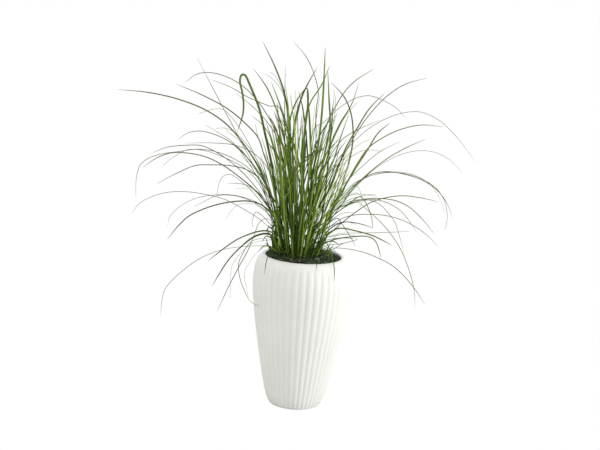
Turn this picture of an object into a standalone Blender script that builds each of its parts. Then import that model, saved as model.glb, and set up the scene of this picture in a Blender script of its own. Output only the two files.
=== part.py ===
"""Potted ornamental grass clump: a ribbed glazed pot, its potting soil, and the shoots (tillers) of the grass.

Metres, +Z up. The origin is the centre of the pot's underside, and -Y is the front. Every tiller is one piece:
a three-sided foot and sheath that stand in a pocket in the soil, and the blades that part from the sheath's top.
"""

import math

import bmesh
import bpy
import numpy as np

# ---------------------------------------------------------------- driving dimensions
POT_HEIGHT = 0.400
FOOT_RADIUS = 0.058  # flat underside
CREST_PROFILE = (  # (height, radius) over the crests of the ribs, from the foot edge to the top of the ribs
    (0.008, 0.0715),
    (0.026, 0.0788),
    (0.095, 0.0936),
    (0.190, 0.1100),
    (0.290, 0.1243),
    (0.335, 0.1264),
    (0.366, 0.1232),
)
RIB_COUNT = 42
RIB_TURN = math.radians(-2.6)  # of the first crest from +X
RIB_DEPTH = 0.0024  # crest to groove
SHOULDER = (0.386, 0.1165)  # smooth band above the ribs
LIP_TOP = (POT_HEIGHT, 0.1035)
MOUTH = (0.3965, 0.0975)
HOLLOW_SIDES = 28
HOLLOW_PROFILE = (  # (height, radius) of the inner wall, downwards from the mouth
    (0.372, 0.1085),
    (0.325, 0.1165),
    (0.180, 0.1000),
    (0.016, 0.0670),
)
GAP = 0.0003  # between a piece and the one that carries it

SOIL_EDGE = 0.391  # height of the soil against the pot's wall
SOIL_CROWN = 0.401  # height of the soil under the clump
CLUMP_CENTRE = (-0.014, -0.006)
CLUMP_RADIUS = 0.050  # outermost shoots
CROWN_RADIUS = 0.062

TILLER_COUNT = 58
FOOT_DEPTH = 0.011  # how far a tiller stands in the soil
SHEATH_RADIUS = 0.0030
SHEATH_LENGTH = 0.050  # above the soil
SHEATH_SPREAD = 0.40  # lean of the outermost sheaths
POCKET_SLACK = 0.0009  # more radius for the pocket, which leaves GAP between the flat sides
KEEL_SHARE = 0.38  # depth of a blade's keel as a share of its half width
BLADE_CLEARANCE = 0.0005
LIFE_SEED = 31

# The place that the routes below are read from: a route's (x, z) is where the blade is seen against the
# upright plane through the pot's axis, and its depth then moves each point along the line of sight.
VIEW_POINT = np.array((0.0, -2.800, 1.056))

# ---------------------------------------------------------------- blades, as read by eye
# One row a tiller. A blade is (half width in mm, depth of its tip in cm, route of (x, z) in cm from the
# leafy core to the tip); + is away from the viewer.
READ_TILLERS = (
    # leaning left, from the top down
    ((2.2, -6, ((-2.8, 49.0), (-3.1, 53.0), (-3.6, 57.5), (-4.5, 61.5), (-5.2, 66.0), (-5.5, 70.5), (-5.9, 74.5),
                (-6.7, 79.3), (-8.2, 83.2), (-10.0, 87.5), (-13.5, 93.7))),
     (1.9, 3, ((-5.2, 68.0), (-7.1, 75.2), (-8.5, 78.5), (-10.8, 83.8)))),
    ((1.9, 7, ((-4.0, 55.0), (-5.2, 62.0), (-7.2, 72.0), (-9.2, 77.2), (-11.7, 82.1), (-15.5, 86.8))),
     (1.2, -3, ((-6.2, 66.0), (-7.1, 80.0), (-7.4, 88.0)))),
    ((3.0, -9, ((-6.7, 48.8), (-7.5, 52.0), (-8.1, 56.0), (-9.0, 61.0), (-10.4, 66.0), (-11.9, 71.8),
                (-13.3, 76.6), (-15.4, 81.0), (-16.6, 83.7), (-17.4, 85.1), (-18.3, 84.9), (-18.5, 83.0),
                (-17.7, 80.4), (-17.2, 77.4), (-17.5, 74.0), (-18.6, 70.3))),),
    ((1.3, 9, ((-4.4, 54.0), (-5.0, 61.0), (-7.0, 67.7), (-9.3, 71.9), (-12.6, 77.2), (-15.7, 80.3),
               (-19.9, 83.4), (-24.7, 84.7), (-28.8, 84.6), (-32.7, 81.6))),
     (1.3, -5, ((-7.2, 74.7), (-11.1, 77.5), (-15.9, 79.2), (-20.2, 81.4), (-26.3, 83.4)))),
    ((1.2, -12, ((-7.5, 49.0), (-12.0, 58.5), (-17.0, 67.2), (-21.1, 74.2), (-24.0, 79.0), (-29.7, 88.8))),),
    ((1.7, -10, ((-4.1, 48.7), (-5.9, 52.6), (-7.7, 56.2), (-9.4, 60.3), (-11.5, 65.0), (-13.6, 70.0),
                 (-16.7, 72.8), (-21.3, 76.2), (-27.2, 79.0), (-34.8, 81.7))),
     (1.2, 7, ((-8.2, 68.0), (-10.3, 72.2), (-13.5, 75.9), (-20.1, 80.7)))),
    ((2.2, -8, ((-7.1, 47.9), (-9.2, 52.9), (-10.8, 58.0), (-13.6, 63.2), (-17.7, 68.6), (-22.6, 73.2),
                (-30.0, 76.8), (-40.0, 78.9), (-49.4, 79.3))),
     (1.5, 6, ((-8.0, 62.0), (-10.8, 70.8), (-13.0, 73.2), (-15.4, 75.0)))),
    ((1.3, 10, ((-11.2, 58.4), (-14.1, 62.5), (-17.9, 66.1), (-21.8, 68.7), (-25.6, 69.8), (-29.8, 70.0),
                (-33.8, 67.4))),
     (1.1, -11, ((-9.5, 60.0), (-13.0, 64.5), (-17.0, 66.6), (-22.2, 67.4), (-31.9, 66.8)))),
    ((1.3, -14, ((-9.5, 54.0), (-12.1, 58.8), (-16.4, 62.1), (-21.7, 64.7), (-28.5, 65.5), (-34.3, 64.3),
                 (-39.5, 63.0), (-43.2, 59.8), (-43.6, 51.4))),
     (1.3, 7, ((-9.8, 55.5), (-12.3, 58.9), (-15.8, 61.1), (-20.9, 61.9), (-25.1, 61.7), (-29.9, 60.9),
               (-38.9, 55.7)))),
    ((1.4, 16, ((-8.0, 48.5), (-11.2, 53.8), (-15.3, 57.4), (-19.6, 60.5), (-25.3, 63.4), (-32.6, 64.4),
                (-37.6, 63.2), (-42.4, 59.7))),
     (1.1, -2, ((-8.5, 49.0), (-11.0, 54.0), (-15.6, 57.1), (-20.5, 57.2)))),
    ((1.3, 2, ((-8.0, 49.5), (-11.6, 54.8), (-15.9, 59.5), (-19.9, 62.8), (-26.0, 66.1), (-30.3, 66.4),
               (-36.5, 65.4), (-40.3, 63.6))),
     (1.4, -6, ((-9.4, 55.0), (-12.6, 60.4), (-14.9, 63.2), (-17.6, 66.2), (-20.4, 68.0)))),
    ((1.1, -15, ((-8.7, 49.8), (-12.4, 52.7), (-16.8, 54.0), (-21.4, 54.3), (-27.3, 53.2), (-31.2, 51.3),
                 (-34.6, 48.0), (-35.3, 44.8))),
     (1.0, 8, ((-10.5, 52.5), (-13.1, 55.5), (-15.2, 56.3), (-18.5, 55.9)))),
    ((1.9, 5, ((-8.2, 49.3), (-10.2, 51.4), (-12.9, 52.8), (-16.7, 52.9), (-21.5, 52.0), (-26.7, 50.0),
               (-31.1, 47.1), (-35.4, 41.3))),),
    ((1.2, 14, ((-7.5, 45.5), (-12.7, 49.1), (-17.4, 51.5), (-23.0, 53.6), (-32.3, 54.4), (-37.5, 53.3),
                (-42.0, 51.2), (-44.9, 47.5))),
     (1.0, -6, ((-7.8, 48.0), (-9.5, 49.6), (-12.7, 52.0), (-15.5, 52.3), (-18.3, 51.2), (-20.5, 47.6)))),
    ((1.5, -10, ((-7.0, 46.5), (-9.2, 48.6), (-11.3, 48.2), (-12.5, 45.5), (-14.1, 40.6), (-16.3, 35.8),
                 (-18.5, 30.9), (-20.3, 26.4), (-21.6, 22.9))),),
    ((2.0, 6, ((-7.2, 44.0), (-8.9, 45.4), (-12.0, 45.2), (-17.0, 42.9), (-20.7, 40.0), (-24.5, 36.6))),
     (2.0, -4, ((-7.0, 43.3), (-9.3, 44.8), (-12.8, 43.9), (-16.6, 40.5), (-19.8, 36.4), (-23.2, 29.9)))),
    ((1.2, 9, ((-6.6, 41.6), (-10.6, 41.6), (-16.1, 40.9), (-22.0, 39.5), (-28.0, 36.2), (-31.8, 32.6),
               (-35.5, 28.0), (-36.2, 20.8))),),
    ((1.1, -9, ((-7.4, 42.6), (-10.8, 42.9), (-14.0, 41.4), (-17.0, 38.0), (-18.4, 34.5), (-18.2, 26.8))),),
    ((1.1, 1, ((-7.0, 41.8), (-9.5, 41.4), (-12.2, 39.4), (-13.9, 36.5), (-14.9, 33.8), (-13.5, 27.3))),),
    ((1.3, -10, ((-6.4, 41.2), (-8.5, 40.2), (-9.4, 37.4), (-9.7, 33.9))),),
    # upright
    ((1.8, -4, ((0.5, 52.0), (1.0, 60.0), (1.6, 67.5), (1.2, 71.9), (0.9, 75.5), (1.0, 79.0), (1.2, 82.0),
                (0.3, 85.1), (-2.3, 90.2), (-6.1, 94.2))),),
    ((2.3, 5, ((0.7, 50.0), (0.7, 55.0), (0.9, 60.0), (1.9, 67.7), (2.4, 76.0), (2.4, 83.0), (2.2, 93.2))),),
    ((2.8, -5, ((-1.7, 48.5), (-1.5, 52.0), (-1.4, 58.0), (-1.5, 62.0), (-1.8, 66.0), (-1.6, 71.0),
                (-1.4, 76.0), (-1.2, 80.0), (-1.7, 82.6))),
     (1.5, -8, ((-1.8, 66.0), (-1.3, 76.5), (0.2, 80.7), (2.3, 84.4), (3.7, 88.8)))),
    ((2.0, -10, ((-2.3, 50.0), (-3.0, 56.0), (-3.9, 62.0), (-4.5, 70.0), (-3.8, 76.5), (-2.6, 81.1),
                 (0.6, 88.1))),
     (1.5, 4, ((-5.5, 70.0), (-4.5, 78.3), (-1.9, 82.9)))),
    ((1.9, 10, ((2.1, 55.0), (3.2, 62.0), (4.7, 73.4), (4.1, 79.8), (3.2, 87.4))),
     (1.5, -2, ((5.3, 62.0), (6.8, 67.8), (8.2, 73.3), (9.3, 77.2)))),
    ((2.0, -7, ((3.7, 48.3), (4.3, 51.0), (4.4, 54.0), (4.6, 58.0), (4.8, 62.0), (4.9, 68.0), (5.1, 74.0),
                (5.1, 80.0))),),
    ((1.9, 3, ((-5.7, 55.7), (-6.3, 60.6), (-6.2, 65.0), (-5.7, 70.0), (-5.8, 75.0), (-6.4, 79.0),
               (-7.1, 83.0))),),
    ((1.8, -6, ((-2.4, 52.0), (-3.1, 57.0), (-3.3, 62.0), (-3.0, 67.0), (-2.6, 72.0), (-2.5, 76.5))),),
    # leaning right, from the top down
    ((1.6, 6, ((1.6, 56.0), (2.2, 64.0), (2.7, 70.3), (4.6, 76.0), (6.9, 80.6), (9.0, 84.1), (14.9, 88.6))),
     (1.5, -9, ((-0.8, 64.0), (0.3, 69.9), (3.3, 74.4), (7.4, 78.8), (13.7, 81.7), (20.9, 79.0),
                (23.9, 76.1)))),
    ((1.9, 12, ((7.3, 54.5), (8.9, 59.6), (10.1, 65.2), (10.7, 70.0), (10.2, 74.5), (8.5, 79.9),
                (4.0, 84.6))),),
    ((1.8, -5, ((2.6, 53.7), (2.9, 57.5), (4.0, 62.0), (5.1, 68.4), (6.7, 73.4), (8.9, 77.4), (10.3, 81.0),
                (11.2, 85.0))),
     (1.4, 5, ((4.6, 65.8), (6.5, 72.0), (8.1, 75.8), (11.6, 80.4)))),
    ((2.4, 8, ((5.6, 57.5), (6.7, 60.5), (8.6, 67.1), (11.1, 72.4), (13.2, 76.8), (15.4, 80.0), (17.9, 82.7))),
     (1.7, -4, ((4.6, 55.0), (6.0, 59.0), (7.0, 62.0), (9.1, 67.5), (12.0, 73.0), (15.1, 78.0), (18.9, 82.3),
                (22.8, 85.1), (28.5, 87.1)))),
    ((1.5, -11, ((4.0, 55.0), (5.9, 60.0), (8.0, 65.5), (11.2, 70.3), (15.7, 74.3), (20.0, 76.9), (26.0, 78.5),
                 (31.0, 77.0), (34.6, 74.7), (40.8, 68.0), (42.4, 66.2))),
     (1.3, 7, ((3.8, 62.0), (6.6, 68.4), (9.0, 71.2), (12.6, 73.5), (17.3, 75.9)))),
    ((2.1, -6, ((4.6, 47.8), (6.2, 51.5), (7.9, 55.2), (10.1, 59.6), (12.8, 65.0), (15.2, 69.2), (17.4, 73.2),
                (19.8, 75.3))),
     (1.5, 11, ((8.4, 56.0), (10.6, 61.0), (13.9, 67.5), (17.3, 70.8), (22.0, 73.5), (26.9, 75.1),
                (33.7, 75.0)))),
    ((1.2, 4, ((7.6, 57.0), (11.4, 61.5), (15.2, 65.5), (18.9, 68.7), (23.1, 70.9))),
     (1.3, -7, ((4.3, 52.0), (5.6, 56.0), (7.4, 60.0), (8.4, 64.0), (9.0, 69.0)))),
    ((1.7, -10, ((5.4, 49.0), (6.9, 51.5), (8.7, 53.9), (11.6, 58.1), (16.0, 62.9), (20.1, 66.5), (24.9, 69.6),
                 (29.4, 71.9))),
     (1.3, 9, ((8.2, 53.9), (11.0, 57.4), (15.6, 62.3), (20.0, 65.8), (24.8, 68.1), (28.9, 68.7),
               (33.7, 67.8), (39.2, 63.6)))),
    ((1.9, -7, ((5.8, 51.0), (8.6, 54.8), (11.2, 58.0), (13.8, 60.7), (16.6, 62.2), (19.9, 62.8), (25.6, 62.2),
                (30.6, 60.4), (34.6, 57.2), (37.7, 51.6))),
     (1.3, 12, ((7.2, 53.2), (10.6, 57.2), (14.6, 60.9), (20.0, 62.7), (26.5, 62.5), (32.0, 59.3),
                (35.9, 52.4)))),
    ((1.4, 7, ((5.2, 45.1), (8.0, 47.6), (11.2, 50.6), (15.8, 54.3), (20.1, 56.1), (26.0, 56.9),
               (34.0, 55.8))),),
    ((1.3, -12, ((7.5, 51.0), (11.5, 54.3), (16.1, 55.6), (21.4, 55.7), (25.6, 54.4), (29.5, 51.4),
                 (33.5, 47.1))),
     (1.3, 10, ((6.5, 50.0), (10.5, 53.5), (16.5, 55.4), (21.4, 54.5), (25.1, 52.0), (29.0, 47.2)))),
    ((1.2, -4, ((6.9, 51.5), (12.0, 54.9), (17.4, 54.9), (20.9, 52.2), (23.1, 49.4), (25.8, 42.0))),
     (1.5, 3, ((7.2, 51.8), (10.2, 53.6), (12.0, 55.1), (13.4, 56.0), (14.5, 55.3), (15.8, 53.1), (16.9, 50.6),
                (17.3, 47.4)))),
    ((1.5, -9, ((6.4, 51.4), (10.0, 53.4), (12.6, 54.5), (14.4, 53.6), (16.5, 51.8), (19.1, 49.8), (21.5, 47.4),
                (24.7, 43.2), (26.8, 39.0), (28.8, 34.0), (29.9, 27.6))),),
    ((1.1, 12, ((6.0, 47.5), (10.5, 50.6), (17.6, 51.6), (23.9, 50.8), (30.0, 48.0), (34.7, 44.0))),
     (1.1, -5, ((5.5, 48.0), (8.0, 50.0), (9.9, 47.9), (11.9, 45.2), (13.4, 42.7)))),
    ((2.0, -6, ((5.3, 45.3), (8.8, 47.4), (13.0, 47.0), (17.9, 45.9), (22.7, 43.7))),),
    ((1.8, 5, ((4.4, 42.6), (7.8, 44.4), (12.4, 45.4), (16.2, 45.7), (18.5, 44.3), (20.1, 40.0))),
     (1.4, -8, ((5.8, 46.4), (9.8, 49.0), (14.1, 48.8), (17.5, 48.0)))),
    ((1.1, 10, ((4.6, 44.0), (7.5, 45.6), (10.9, 46.2), (19.2, 46.9), (27.3, 47.8))),),
    ((1.3, -7, ((4.5, 41.8), (9.7, 42.1), (14.0, 41.8), (19.8, 40.0), (24.3, 37.6), (28.9, 33.1),
                (32.6, 28.3))),
     (1.3, 4, ((4.6, 42.0), (7.0, 43.0), (9.6, 43.4), (13.9, 44.8)))),
    ((1.5, -10, ((4.2, 44.0), (5.6, 43.6), (6.6, 41.6), (7.6, 39.0), (8.3, 36.4), (8.3, 32.9))),),
    ((1.3, -13, ((2.0, 41.8), (3.1, 40.6), (3.6, 38.4), (3.5, 35.6))),),
)
BLADES_EACH = 3  # at most, and the corners of a sheath
CORE_OUTLINE = (  # (height, half width) of the leafy core as it is seen
    (0.42, 0.070),
    (0.50, 0.092),
    (0.60, 0.118),
    (0.68, 0.125),
    (0.76, 0.100),
    (0.84, 0.050),
)
CORE_TOP = 0.82
GROWN_BLADES = (1.3, 2.2)  # least and most half-width, in mm, of a blade that only follows the rule
GROWTH_TRIES = 400
BULGES_TRIED = 5
ROUND_OF_TRIES = 38 * BULGES_TRIED
SHIFT_STEP = 0.008  # by which a whole read blade is tried nearer or farther
BULGE_STEP = 0.012  # by which the middle of it is
FACING_WIDTH = 1.8  # read blades at least this wide, in mm, show their flat side to the viewer
BEND_PULL = 0.25  # share of a blade's length that one radian of bend counts for, when its sections are spaced
FACING_TURN = math.radians(28)  # most that such a blade twists from one section to the next


# ---------------------------------------------------------------- small helpers
def clear_scene():
    for thing in list(bpy.data.objects):
        bpy.data.objects.remove(thing, do_unlink=True)


def finish(name, colour, roughness):
    material = bpy.data.materials.new(name)
    material.use_nodes = True
    shader = material.node_tree.nodes["Principled BSDF"]
    shader.inputs["Base Color"].default_value = (*colour, 1.0)
    shader.inputs["Roughness"].default_value = roughness
    shader.inputs["Metallic"].default_value = 0.0
    return material


def add_object(name, bm, material):
    mesh = bpy.data.meshes.new(name)
    bm.to_mesh(mesh)
    bm.free()
    mesh.materials.append(material)
    thing = bpy.data.objects.new(name, mesh)
    bpy.context.scene.collection.objects.link(thing)
    return thing


def add_ring(bm, points):
    return [bm.verts.new(point) for point in points]


def polygon(radius, height, sides, turn=0.0, centre=(0.0, 0.0)):
    angles = [turn + math.tau * k / sides for k in range(sides)]
    return [(centre[0] + radius * math.cos(a), centre[1] + radius * math.sin(a), height) for a in angles]


def bridge(bm, lower, upper):
    """Faces between two rings that run the same way; the upper ring may have fewer points, by a whole share."""
    share = len(lower) // len(upper)
    for k, corner in enumerate(upper):
        after = upper[(k + 1) % len(upper)]
        below = [lower[(k * share + j) % len(lower)] for j in range(share + 1)]
        bm.faces.new([*below, after, corner])


# ---------------------------------------------------------------- pot
def crest_ring(height, radius, depth):
    """A ring with a crest and a groove for every rib."""
    ring = []
    for k in range(2 * RIB_COUNT):
        reach = radius - depth * (k % 2)
        angle = RIB_TURN + math.pi * k / RIB_COUNT
        ring.append((reach * math.cos(angle), reach * math.sin(angle), height))
    return ring


def make_pot():
    bm = bmesh.new()
    first = CREST_PROFILE[0]
    rings = [add_ring(bm, crest_ring(0.0, FOOT_RADIUS, 0.0))]
    for height, radius in CREST_PROFILE:
        depth = RIB_DEPTH * (0.5 if height == first[0] else 1.0)
        rings.append(add_ring(bm, crest_ring(height, radius, depth)))
    for height, radius in (SHOULDER, LIP_TOP):
        rings.append(add_ring(bm, crest_ring(height, radius, 0.0)))
    for height, radius in (MOUTH, *HOLLOW_PROFILE):
        rings.append(add_ring(bm, polygon(radius, height, HOLLOW_SIDES)))
    bm.faces.new(list(reversed(rings[0])))
    for lower, upper in zip(rings, rings[1:]):
        bridge(bm, lower, upper)
    bm.faces.new(rings[-1])
    bmesh.ops.recalc_face_normals(bm, faces=bm.faces)
    return add_object("pot", bm, finish("pot_glaze", (0.80, 0.81, 0.79), 0.22))


# ---------------------------------------------------------------- soil
def wall_radius(height):
    """Radius of the pot's hollow at a height."""
    profile = sorted((MOUTH, *HOLLOW_PROFILE))
    return float(np.interp(height, [p[0] for p in profile], [p[1] for p in profile]))


def lump(angle):
    return 0.0022 * math.sin(3 * angle + 0.7) + 0.0016 * math.sin(7 * angle + 2.1)


def make_soil(tillers):
    """Fills the hollow; its crown under the clump is level, and lumpy ground slopes from there to the wall."""
    half_side = math.cos(math.pi / HOLLOW_SIDES)
    slack = (GAP + 0.0002) / half_side
    bm = bmesh.new()
    floor_height, floor_radius = HOLLOW_PROFILE[-1]
    rings = [add_ring(bm, polygon(floor_radius - slack, floor_height + GAP, HOLLOW_SIDES))]
    for height, radius in reversed(HOLLOW_PROFILE[:-1]):
        rings.append(add_ring(bm, polygon(radius - slack, height, HOLLOW_SIDES)))
    rings.append(add_ring(bm, polygon(wall_radius(SOIL_EDGE) - 2 * slack, SOIL_EDGE, HOLLOW_SIDES)))
    middle = [
        (x, y, (SOIL_EDGE + SOIL_CROWN) / 2 + lump(math.atan2(y, x)))
        for x, y, _ in polygon(0.086, 0.0, HOLLOW_SIDES, centre=(-0.002, -0.001))
    ]
    rings.append(add_ring(bm, middle))
    rings.append(add_ring(bm, polygon(CROWN_RADIUS, SOIL_CROWN, HOLLOW_SIDES, centre=CLUMP_CENTRE)))
    bm.faces.new(list(reversed(rings[0])))
    for lower, upper in zip(rings, rings[1:]):
        bridge(bm, lower, upper)
    bm.faces.new(rings[-1])
    bmesh.ops.recalc_face_normals(bm, faces=bm.faces)
    soil = add_object("soil", bm, finish("potting_soil", (0.035, 0.030, 0.022), 0.9))
    cut = soil.modifiers.new("pockets", "BOOLEAN")
    cut.operation = "DIFFERENCE"
    cut.solver = "EXACT"
    cut.object = pocket_cutter(tillers)
    return soil


def pocket_cutter(tillers):
    """A prism round every foot, a little wider than the foot and along its lean."""
    bm = bmesh.new()
    for tiller in tillers:
        axis = tiller["axis"]
        bottom = tiller["foot"] - axis * GAP
        top = tiller["foot"] + axis * (2.4 * FOOT_DEPTH)
        corners = tiller["corners"] * (1.0 + POCKET_SLACK / SHEATH_RADIUS)
        lower = add_ring(bm, bottom + corners)
        upper = add_ring(bm, top + corners)
        bm.faces.new(list(reversed(lower)))
        bridge(bm, lower, upper)
        bm.faces.new(upper)
    bmesh.ops.recalc_face_normals(bm, faces=bm.faces)
    cutter = add_object("pocket_cutter", bm, finish("cutter", (1.0, 0.0, 0.0), 0.5))
    cutter.hide_render = True
    cutter.display_type = "WIRE"
    return cutter


# ---------------------------------------------------------------- routes
def at_depth(x, z, depth):
    """The point at this depth that is seen at (x, z) on the upright plane."""
    on_plane = np.array((x, 0.0, z))
    share = (depth - VIEW_POINT[1]) / -VIEW_POINT[1]
    return VIEW_POINT + (on_plane - VIEW_POINT) * share


def smooth_route(points, count):
    """count + 1 points, evenly spaced along a smooth curve (Catmull-Rom) through the given ones."""
    points = np.asarray(points, float)
    knots = np.vstack((2 * points[0] - points[1], points, 2 * points[-1] - points[-2]))
    t = np.linspace(0.0, 1.0, 17)[:-1, None]
    spans = []
    for a, b, c, d in zip(knots, knots[1:], knots[2:], knots[3:]):
        curve = 2 * b + (c - a) * t + (2 * a - 5 * b + 4 * c - d) * t**2 + (3 * b - a - 3 * c + d) * t**3
        spans.append(curve / 2)
    fine = np.vstack((*spans, points[-1:]))
    reach = along(fine)
    wanted = np.linspace(0.0, reach[-1], count + 1)
    return np.column_stack([np.interp(wanted, reach, fine[:, i]) for i in range(3)])


def along(points):
    """Distance travelled at each point of a polyline."""
    return np.concatenate(((0.0,), np.cumsum(np.linalg.norm(np.diff(points, axis=0), axis=1))))


def blade_half_width(share, half_width):
    """Narrow where it leaves the sheath, widest at about a third, and then nearly even to a short taper."""
    rise = 0.62 + 0.38 * np.sin(np.minimum(share / 0.3, 1.0) * math.pi / 2)
    fall = np.minimum(1.0, (1.0 - share) / 0.40) ** 0.45
    return half_width * rise * fall


def turning(points):
    """How far a polyline has turned at each point, in radians."""
    steps = np.diff(points, axis=0)
    steps /= np.linalg.norm(steps, axis=1)[:, None]
    turns = np.arccos(np.clip((steps[1:] * steps[:-1]).sum(axis=1), -1.0, 1.0))
    return np.concatenate(((0.0,), np.cumsum(turns), (turns.sum(),)))


def read_route(start, blade, shift, bulge):
    """A read blade as points in space, from the top of its sheath; shift and bulge change only its depth."""
    _, tip_depth, seen = blade
    seen = np.array(seen) / 100
    steps = np.linalg.norm(np.diff(np.vstack(((start[0], start[2]), seen)), axis=0), axis=1)
    share = np.cumsum(steps) / steps.sum()
    last = tip_depth / 100 + shift
    depths = start[1] + (last - start[1]) * share**1.2 + bulge * np.sin(math.pi * share)
    return np.vstack((start, [at_depth(x, z, d) for (x, z), d in zip(seen, depths)]))


def grown_route(start, heading, lean, bend, length):
    """A blade that follows a rule: it leans towards its heading and bends over more and more."""
    share = np.linspace(0.0, 1.0, 6)
    tilt = lean + bend * ((share[1:] + share[:-1]) / 2) ** 1.7
    step = length / 5
    out = np.concatenate(((0.0,), np.cumsum(step * np.sin(tilt))))
    up = np.concatenate(((0.0,), np.cumsum(step * np.cos(tilt))))
    return start + np.column_stack((out * math.cos(heading), out * math.sin(heading), up))


# ---------------------------------------------------------------- keeping the blades clear of one another
def segment_distances(p, q, a, b):
    """Shortest distance from each segment p-q to each segment a-b."""
    u = (q - p)[:, None]
    v = (b - a)[None]
    w = p[:, None] - a[None]
    uu, vv, uv = (u * u).sum(-1), (v * v).sum(-1), (u * v).sum(-1)
    uw, vw = (u * w).sum(-1), (v * w).sum(-1)
    spread = np.maximum(uu * vv - uv * uv, 1e-12)
    s = np.clip((uv * vw - vv * uw) / spread, 0.0, 1.0)
    t = np.clip((uv * s + vw) / vv, 0.0, 1.0)
    s = np.clip((uv * t - uw) / uu, 0.0, 1.0)
    return np.linalg.norm(w + s[..., None] * u - t[..., None] * v, axis=-1)


class Thicket:
    """Every length of sheath and blade placed so far, as straight rods with a radius."""

    def __init__(self):
        self.start = np.zeros((0, 3))
        self.end = np.zeros((0, 3))
        self.radius = np.zeros(0)
        self.owner = np.zeros(0, int)

    def room(self, points, radii, owner):
        """Smallest clearance from these rods to all others; near its sheath a blade may touch its sisters."""
        if not len(self.start):
            return 1.0
        reach = np.maximum(radii[:-1], radii[1:])
        space = segment_distances(points[:-1], points[1:], self.start, self.end)
        space -= reach[:, None] + self.radius[None]
        space[:2, self.owner == owner] = 1.0
        return float(space.min())

    def add(self, points, radii, owner):
        self.start = np.vstack((self.start, points[:-1]))
        self.end = np.vstack((self.end, points[1:]))
        self.radius = np.concatenate((self.radius, np.maximum(radii[:-1], radii[1:])))
        self.owner = np.concatenate((self.owner, np.full(len(points) - 1, owner)))


def clears_pot(points):
    """True if no part of the route runs into the pot's wall or lip."""
    dense = smooth_route(points, 30)
    heights = [0.0, *[p[0] for p in CREST_PROFILE], SHOULDER[0], LIP_TOP[0]]
    radii = [FOOT_RADIUS, *[p[1] for p in CREST_PROFILE], SHOULDER[1], LIP_TOP[1]]
    away = np.hypot(dense[:, 0], dense[:, 1])
    beside = dense[:, 2] < POT_HEIGHT + 0.002
    outer = np.interp(dense[:, 2], heights, radii) + 0.0035
    inside = (away < MOUTH[1] - 0.004) & (dense[:, 2] > SOIL_EDGE)
    return not bool((beside & (away < outer) & ~inside).any())


# ---------------------------------------------------------------- the clump
def crown_spots():
    """Where the tillers stand: a sunflower spiral over the crown."""
    golden = math.pi * (3.0 - math.sqrt(5.0))
    spots = []
    for k in range(TILLER_COUNT):
        reach = CLUMP_RADIUS * math.sqrt((k + 0.5) / TILLER_COUNT)
        sideways, back = reach * math.cos(k * golden), reach * math.sin(k * golden)
        spots.append((CLUMP_CENTRE[0] + sideways, CLUMP_CENTRE[1] + back))
    return np.array(spots)


def wanted_spot(blades):
    """Low and far-reaching blades come from the edge of the crown, tall ones from its middle."""
    route = np.array(blades[0][2]) / 100
    depth = blades[0][1] / 100
    first = route[0]
    low = np.clip((0.62 - first[1]) / 0.20, 0.15, 1.0)
    side = np.clip((first[0] - CLUMP_CENTRE[0]) / 0.07, -1.0, 1.0)
    towards = np.array((side, np.clip(depth / 0.12, -1.0, 1.0) * 0.8))
    size = max(1.0, float(np.linalg.norm(towards)))
    return np.array(CLUMP_CENTRE) + CLUMP_RADIUS * low * towards / size


def sheath_top(foot, blades):
    """Sheaths part evenly from the middle of the clump; low blades leave theirs close above the soil."""
    outward = foot - np.array((*CLUMP_CENTRE, foot[2]))
    way = np.array((0.0, 0.0, 1.0)) + SHEATH_SPREAD * outward / CLUMP_RADIUS
    way /= np.linalg.norm(way)
    lowest = min([b[2][0][1] / 100 for b in blades], default=1.0)
    length = np.clip(lowest - 0.012 - SOIL_CROWN, 0.014, SHEATH_LENGTH)
    return foot + way * (length + FOOT_DEPTH)


def place_read_blade(thicket, top, blade, owner):
    """Keeps the blade's picture and changes its depth until it has room."""
    half_width, tip_depth, seen = blade
    best = None
    for step in range(3 * ROUND_OF_TRIES):  # as read, then from its second point, then narrower
        kept = (half_width, tip_depth, seen[step // ROUND_OF_TRIES % 2 :])
        width = half_width / 1000 * (1.0 if step < 2 * ROUND_OF_TRIES else 0.8)
        nth_shift, nth_bulge = step % ROUND_OF_TRIES // BULGES_TRIED, step % BULGES_TRIED
        shift = SHIFT_STEP * ((nth_shift + 1) // 2) * (-1) ** (step // BULGES_TRIED)
        bulge = BULGE_STEP * ((nth_bulge + 1) // 2) * (-1) ** step
        route = read_route(top, kept, shift, bulge)
        room = thicket.room(*rods(route, width), owner)
        if not clears_pot(route):
            room -= 0.02
        if best is None or room > best[0]:
            best = (room, route, width)
        if room > BLADE_CLEARANCE:
            break
    return best


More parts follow.
